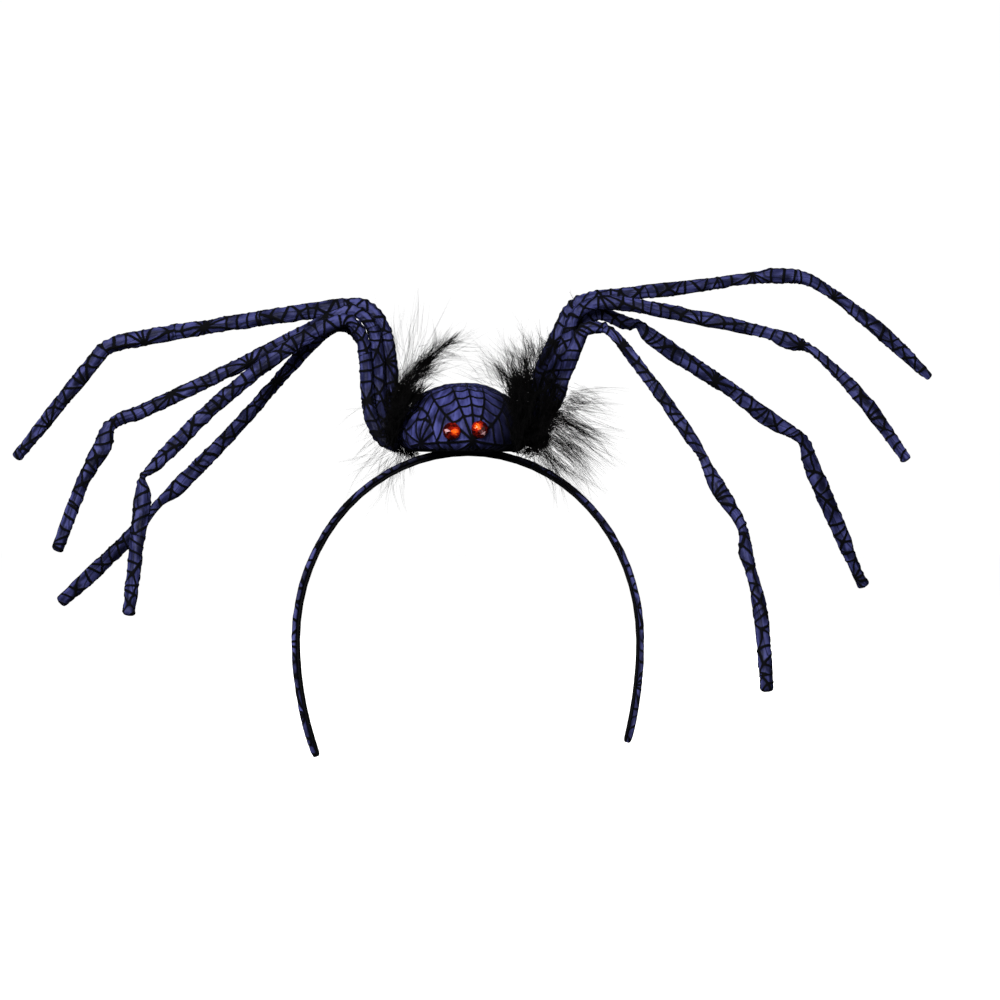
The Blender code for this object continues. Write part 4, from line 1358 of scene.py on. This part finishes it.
# A spray of wisps. They spring from along a line in front view, x and z in millimetres, at a
# depth and scattered by a width. They turn from a first heading at the line's start to a last one
# at its end, in degrees from +X towards +Z, and stray from that. Each wisp holds some hairs of a
# length, which close up towards its tip; wild is how unruly they are, droop how they sink.
Spray = namedtuple(
    "Spray", "x z to_x to_z depth width first last stray wisps hairs length wild thick droop")
SPRAYS = {
    "feather_left_high": (
        Spray(-31.0, 4.0, -29.0, 26.0, -14.5, 1.6, 100, 78, 16, 50, 8, 9.0, 0.35, 0.27, 0.0),
        Spray(-29.5, 8.0, -24.5, 23.0, -16.5, 1.5, 96, 66, 16, 80, 8, 8.0, 0.35, 0.27, 0.0),
        Spray(-30.0, 3.5, -26.5, 24.0, -16.0, 1.2, 98, 70, 16, 100, 8, 8.0, 0.4, 0.29, 0.0),
        Spray(-26.5, 13.5, -20.5, 23.5, -18.5, 1.2, 92, 54, 16, 68, 8, 8.0, 0.35, 0.27, 0.0),
        Spray(-28.0, 22.0, -18.5, 35.0, -15.5, 2.0, 66, 48, 11, 100, 9, 11.0, 0.3, 0.16, 0.02),
        Spray(-20.0, 33.0, -8.5, 44.5, -15.5, 0.6, 48, 38, 8, 60, 8, 8.0, 0.2, 0.11, 0.01),
        Spray(-27.0, 24.0, -12.0, 42.0, -15.5, 1.0, 88, 62, 9, 34, 6, 13.0, 0.35, 0.08, 0.0),
        Spray(-24.0, 24.0, -10.0, 42.0, -15.0, 1.0, 28, 12, 12, 32, 6, 12.0, 0.40, 0.08, 0.02),
        Spray(-29.0, 26.0, -22.0, 30.0, -15.0, 1.6, 104, 52, 16, 50, 3, 34.0, 0.30, 0.085, 0.01),
        Spray(-12.0, 40.0, -8.0, 45.0, -15.0, 0.8, 40, 12, 12, 12, 4, 16.0, 0.35, 0.065, 0.01),
    ),
    "feather_left_low": (
        Spray(-33.0, 4.0, -25.0, 1.0, 11.5, 1.2, 208, 252, 15, 30, 4, 26.0, 0.6, 0.075, 0.04),
        Spray(-37.0, 22.0, -34.0, 6.0, 10.0, 0.6, 192, 222, 14, 18, 3, 19.0, 0.5, 0.07, 0.03),
        Spray(-28.0, 0.5, -21.0, 0.0, 11.5, 1.2, 245, 275, 14, 22, 4, 9.0, 0.7, 0.08, 0.0),
        Spray(-28.5, 4.2, -22.0, 2.4, 7.0, 0.9, 235, 295, 30, 64, 6, 4.5, 0.6, 0.24, 0.0),
        Spray(-36.0, 30.0, -38.0, 31.5, 9.0, 0.3, 178, 160, 5, 2, 3, 9.0, 0.4, 0.09, 0.0),
    ),
    "feather_right_high": (
        Spray(20.5, 2.0, 19.5, 20.0, -23.0, 1.5, 92, 108, 14, 70, 8, 9.5, 0.35, 0.27, 0.0),
        Spray(18.5, 4.0, 17.5, 21.0, -24.0, 1.6, 88, 112, 20, 18, 7, 8.5, 0.45, 0.13, 0.0),
        Spray(22.0, 2.0, 24.0, 26.0, -19.0, 2.4, 92, 92, 18, 120, 8, 10.0, 0.4, 0.30, 0.0),
        Spray(22.0, 6.0, 21.5, 27.0, -17.5, 1.8, 98, 98, 18, 90, 8, 9.0, 0.4, 0.33, 0.0),
        Spray(29.0, 4.0, 32.0, 27.0, -15.5, 2.2, 80, 72, 18, 80, 8, 9.0, 0.4, 0.28, 0.0),
        Spray(18.0, 20.0, 25.0, 29.0, -18.5, 1.4, 112, 84, 18, 60, 8, 12.0, 0.4, 0.21, 0.0),
        Spray(20.0, 3.4, 27.0, 3.0, -15.0, 1.0, 230, 310, 40, 34, 6, 4.5, 0.6, 0.26, 0.0),
        Spray(16.0, 27.0, 33.0, 38.0, -17.0, 2.0, 118, 76, 12, 60, 9, 14.0, 0.5, 0.135, 0.0),
        Spray(15.0, 27.0, 27.0, 36.0, -16.0, 2.0, 136, 96, 14, 46, 4, 21.0, 0.6, 0.075, 0.0),
        Spray(14.0, 26.0, 20.0, 32.0, -16.0, 1.6, 160, 128, 14, 26, 4, 27.0, 0.7, 0.065, 0.0),
        Spray(43.0, 57.5, 45.0, 60.0, -8.0, 0.5, 175, 100, 25, 4, 4, 9.0, 0.5, 0.09, 0.0),
    ),
    "feather_right_low": (
        Spray(25.5, 2.0, 33.0, 20.0, -13.5, 2.0, -20, 40, 30, 90, 8, 6.5, 0.5, 0.27, 0.0),
        Spray(26.0, 0.0, 37.0, 16.0, -11.0, 2.0, -52, -20, 9, 96, 9, 28.0, 0.40, 0.10, 0.045),
        Spray(36.0, 15.0, 41.0, 27.0, -11.0, 1.2, -22, 2, 9, 24, 8, 22.0, 0.35, 0.08, 0.02),
        Spray(26.0, 1.0, 41.0, 25.0, -12.0, 1.6, -54, 0, 15, 90, 7, 9.0, 0.5, 0.12, 0.02),
    ),
}


# A wisp: how its foot scatters as a share of the spray's width, how it leans from front to back,
# how it curls, and its reach as a share of the spray's length
FOOT_SCATTER = 0.6
WISP_LEAN = 0.28
WISP_CURL = 0.11
WISP_REACH = (0.55, 1.12)
# A hair: where it starts on the wisp's line and how long and thick it is, as shares; how it lies
# aside of the line, strays from it and waves
HAIR_START = 0.55
HAIR_START_POWER = 1.3
HAIR_RUN = (0.45, 0.8)
HAIR_END = 1.08
HAIR_THICKNESS = (0.6, 1.25)
HAIR_ASIDE = 0.55
HAIR_ASIDE_POWER = 1.5
HAIR_STRAY = (0.35, 0.7)
HAIR_STRAY_POWER = 1.6
HAIR_WAVE = 0.35
HAIR_WAVE_TURN = 5.0
# Its taper, and any direction that no hair follows
HAIR_TAPER = 0.8
HAIR_TAPER_POWER = 1.5
ASKEW = (0.31, 0.52, 0.79)


def random_vector(draw, size):
    return Vector([draw.gauss(0.0, size) for _ in range(3)])


def spray_strands(spray, draw):
    """The hairs of one spray, as rows of points in millimetres with a thickness."""
    strands = []
    for _ in range(spray.wisps):
        along = draw.random()
        foot = Vector((
            spray.x + (spray.to_x - spray.x) * along,
            spray.depth,
            spray.z + (spray.to_z - spray.z) * along,
        )) + random_vector(draw, spray.width * FOOT_SCATTER)
        angle = spray.first + (spray.last - spray.first) * along + draw.gauss(0.0, spray.stray)
        angle = math.radians(angle)
        lean = draw.gauss(0.0, WISP_LEAN)
        heading = Vector((math.cos(angle), lean, math.sin(angle))).normalized()
        curl = random_vector(draw, spray.wild * WISP_CURL)
        step = spray.length * draw.uniform(*WISP_REACH) / (STRAND_KNOTS - 1)
        spine = [foot]
        for _ in range(1, STRAND_KNOTS):
            heading = (heading + curl - Vector((0.0, 0.0, spray.droop))).normalized()
            spine.append(spine[-1] + heading * step)
        strands += [hair(spine, spray, draw) for _ in range(spray.hairs)]
    return strands


def hair(spine, spray, draw):
    """One hair of a wisp: it starts aside of the wisp's line and closes up on it."""
    start = draw.random() ** HAIR_START_POWER * HAIR_START
    end = min(start + draw.uniform(*HAIR_RUN), HAIR_END)
    aside = random_vector(draw, spray.width * HAIR_ASIDE)
    stray = random_vector(draw, HAIR_STRAY[0] + spray.wild * HAIR_STRAY[1])
    wave = random_vector(draw, spray.wild * HAIR_WAVE)
    phase = draw.uniform(0.0, TAU)
    points = []
    for knot in range(STRAND_KNOTS):
        share = knot / (STRAND_KNOTS - 1)
        place = (start + (end - start) * share) * (STRAND_KNOTS - 1)
        low = min(int(place), STRAND_KNOTS - 2)
        spot = spine[low].lerp(spine[low + 1], place - low)
        spot = spot + aside * (1.0 - share) ** HAIR_ASIDE_POWER + stray * share**HAIR_STRAY_POWER
        points.append(spot + wave * math.sin(share * HAIR_WAVE_TURN + phase) * share)
    return points, spray.thick * draw.uniform(*HAIR_THICKNESS)


def strand_mesh(name, strands, material):
    """Three-sided tubes that narrow to their tips, joined in one mesh."""
    path = np.array([points for points, _ in strands]) * MM
    thick = np.array([width for _, width in strands]) * MM / 2
    count, knots = path.shape[:2]
    ahead = unit(np.gradient(path, axis=1))
    one = unit(np.cross(ahead, ASKEW))
    ring = around(one, np.cross(ahead, one), TAU * np.arange(3) / 3)
    taper = 1.0 - HAIR_TAPER * (np.arange(knots) / (knots - 1)) ** HAIR_TAPER_POWER
    verts = path[:, :, None] + ring * (thick[:, None] * taper)[:, :, None, None]
    strand, knot, side = np.indices((count, knots - 1, 3))
    base = (strand * knots + knot) * 3
    after = base + (side + 1) % 3
    quads = np.stack([base + side, after, after + 3, base + 3 + side], axis=-1).reshape(-1, 4)
    first = np.arange(count)[:, None] * knots * 3
    last = first + (knots - 1) * 3
    caps = np.concatenate([first + [2, 1, 0], last + [0, 1, 2]])
    starts = np.concatenate([np.arange(len(quads)) * 4, quads.size + np.arange(len(caps)) * 3])
    mesh = bpy.data.meshes.new(name)
    mesh.vertices.add(count * knots * 3)
    mesh.vertices.foreach_set("co", verts.reshape(-1))
    mesh.loops.add(quads.size + caps.size)
    mesh.loops.foreach_set("vertex_index", np.concatenate([quads.ravel(), caps.ravel()]))
    mesh.polygons.add(len(starts))
    mesh.polygons.foreach_set("loop_start", starts)
    mesh.update(calc_edges=True)
    mesh.shade_smooth()
    mesh.materials.append(material)
    return placed(name, mesh)


FIRST_TUFT_SEED = 100

down = down_black("black_down")
for seed, (node, sprays) in enumerate(SPRAYS.items(), FIRST_TUFT_SEED):
    draw = random.Random(seed)
    strands = [strand for spray in sprays for strand in spray_strands(spray, draw)]
    settle(strand_mesh(node + "_down", strands, down), node)


# Floor, light and camera

FLOOR_LEVEL = CAD_BOX[0].z - 0.6 * MM
FLOOR_HALF = 6.0
WHITE = (1.0, 1.0, 1.0, 1.0)
# How bright the room is where the camera sees it, and how much it lights the object
ROOM_SEEN = 0.97
ROOM_LIGHT = 0.05
Lamp = namedtuple("Lamp", "name place size power glossy")
LAMPS = (
    Lamp("key", (-0.45, -1.30, 0.65), 0.75, 38.0, True),
    Lamp("fill", (0.7, -1.3, 0.2), 0.8, 2.6, True),
    Lamp("top", (-0.1, 0.1, 1.2), 0.7, 2.5, False),
    Lamp("back", (0.2, 1.3, 0.5), 0.8, 9.0, False),
)
CAMERA_PLACE = (12.8 * MM, -1600.0 * MM, -17.6 * MM)
CAMERA_SENSOR = 36.0
CAMERA_LENS = 144.0
CAMERA_REACH = 30.0


def make_floor():
    corners = ((-1, -1), (1, -1), (1, 1), (-1, 1))
    mesh = bpy.data.meshes.new("floor")
    verts = [(x * FLOOR_HALF, y * FLOOR_HALF, FLOOR_LEVEL) for x, y in corners]
    mesh.from_pydata(verts, [], [(0, 1, 2, 3)])
    material, _ = new_material("pale_floor")
    mesh.materials.append(finished(material, {
        "Base Color": (0.9, 0.9, 0.9, 1.0),
        "Roughness": 0.9,
        "Emission Color": WHITE,
        "Emission Strength": 0.95,
    }))
    floor = placed("floor", mesh)
    floor.visible_diffuse = False
    floor.visible_glossy = False


def make_world():
    world = bpy.data.worlds.new("studio")
    world.use_nodes = True
    seen = Wire(new_node(world.node_tree, "LightPath").outputs["Is Camera Ray"])
    background = world.node_tree.nodes["Background"]
    fill(background.inputs["Strength"], seen * ROOM_SEEN + ROOM_LIGHT)
    fill(background.inputs["Color"], WHITE)
    bpy.context.scene.world = world


def add_lamp(lamp):
    data = bpy.data.lights.new(lamp.name, "AREA")
    data.shape = "DISK"
    data.size = lamp.size
    data.energy = lamp.power
    light = placed(lamp.name, data)
    light.location = lamp.place
    light.visible_glossy = lamp.glossy
    light.rotation_mode = "QUATERNION"
    light.rotation_quaternion = (-Vector(lamp.place)).to_track_quat("-Z", "Y")


def make_camera():
    data = bpy.data.cameras.new("camera")
    data.sensor_width = CAMERA_SENSOR
    data.lens = CAMERA_LENS
    data.clip_end = CAMERA_REACH
    camera = placed("camera", data)
    camera.location = CAMERA_PLACE
    camera.rotation_euler = (QUARTER, 0.0, 0.0)
    bpy.context.scene.camera = camera


make_floor()
make_world()
for lamp in LAMPS:
    add_lamp(lamp)
make_camera()
bpy.context.scene.view_settings.view_transform = "Standard"
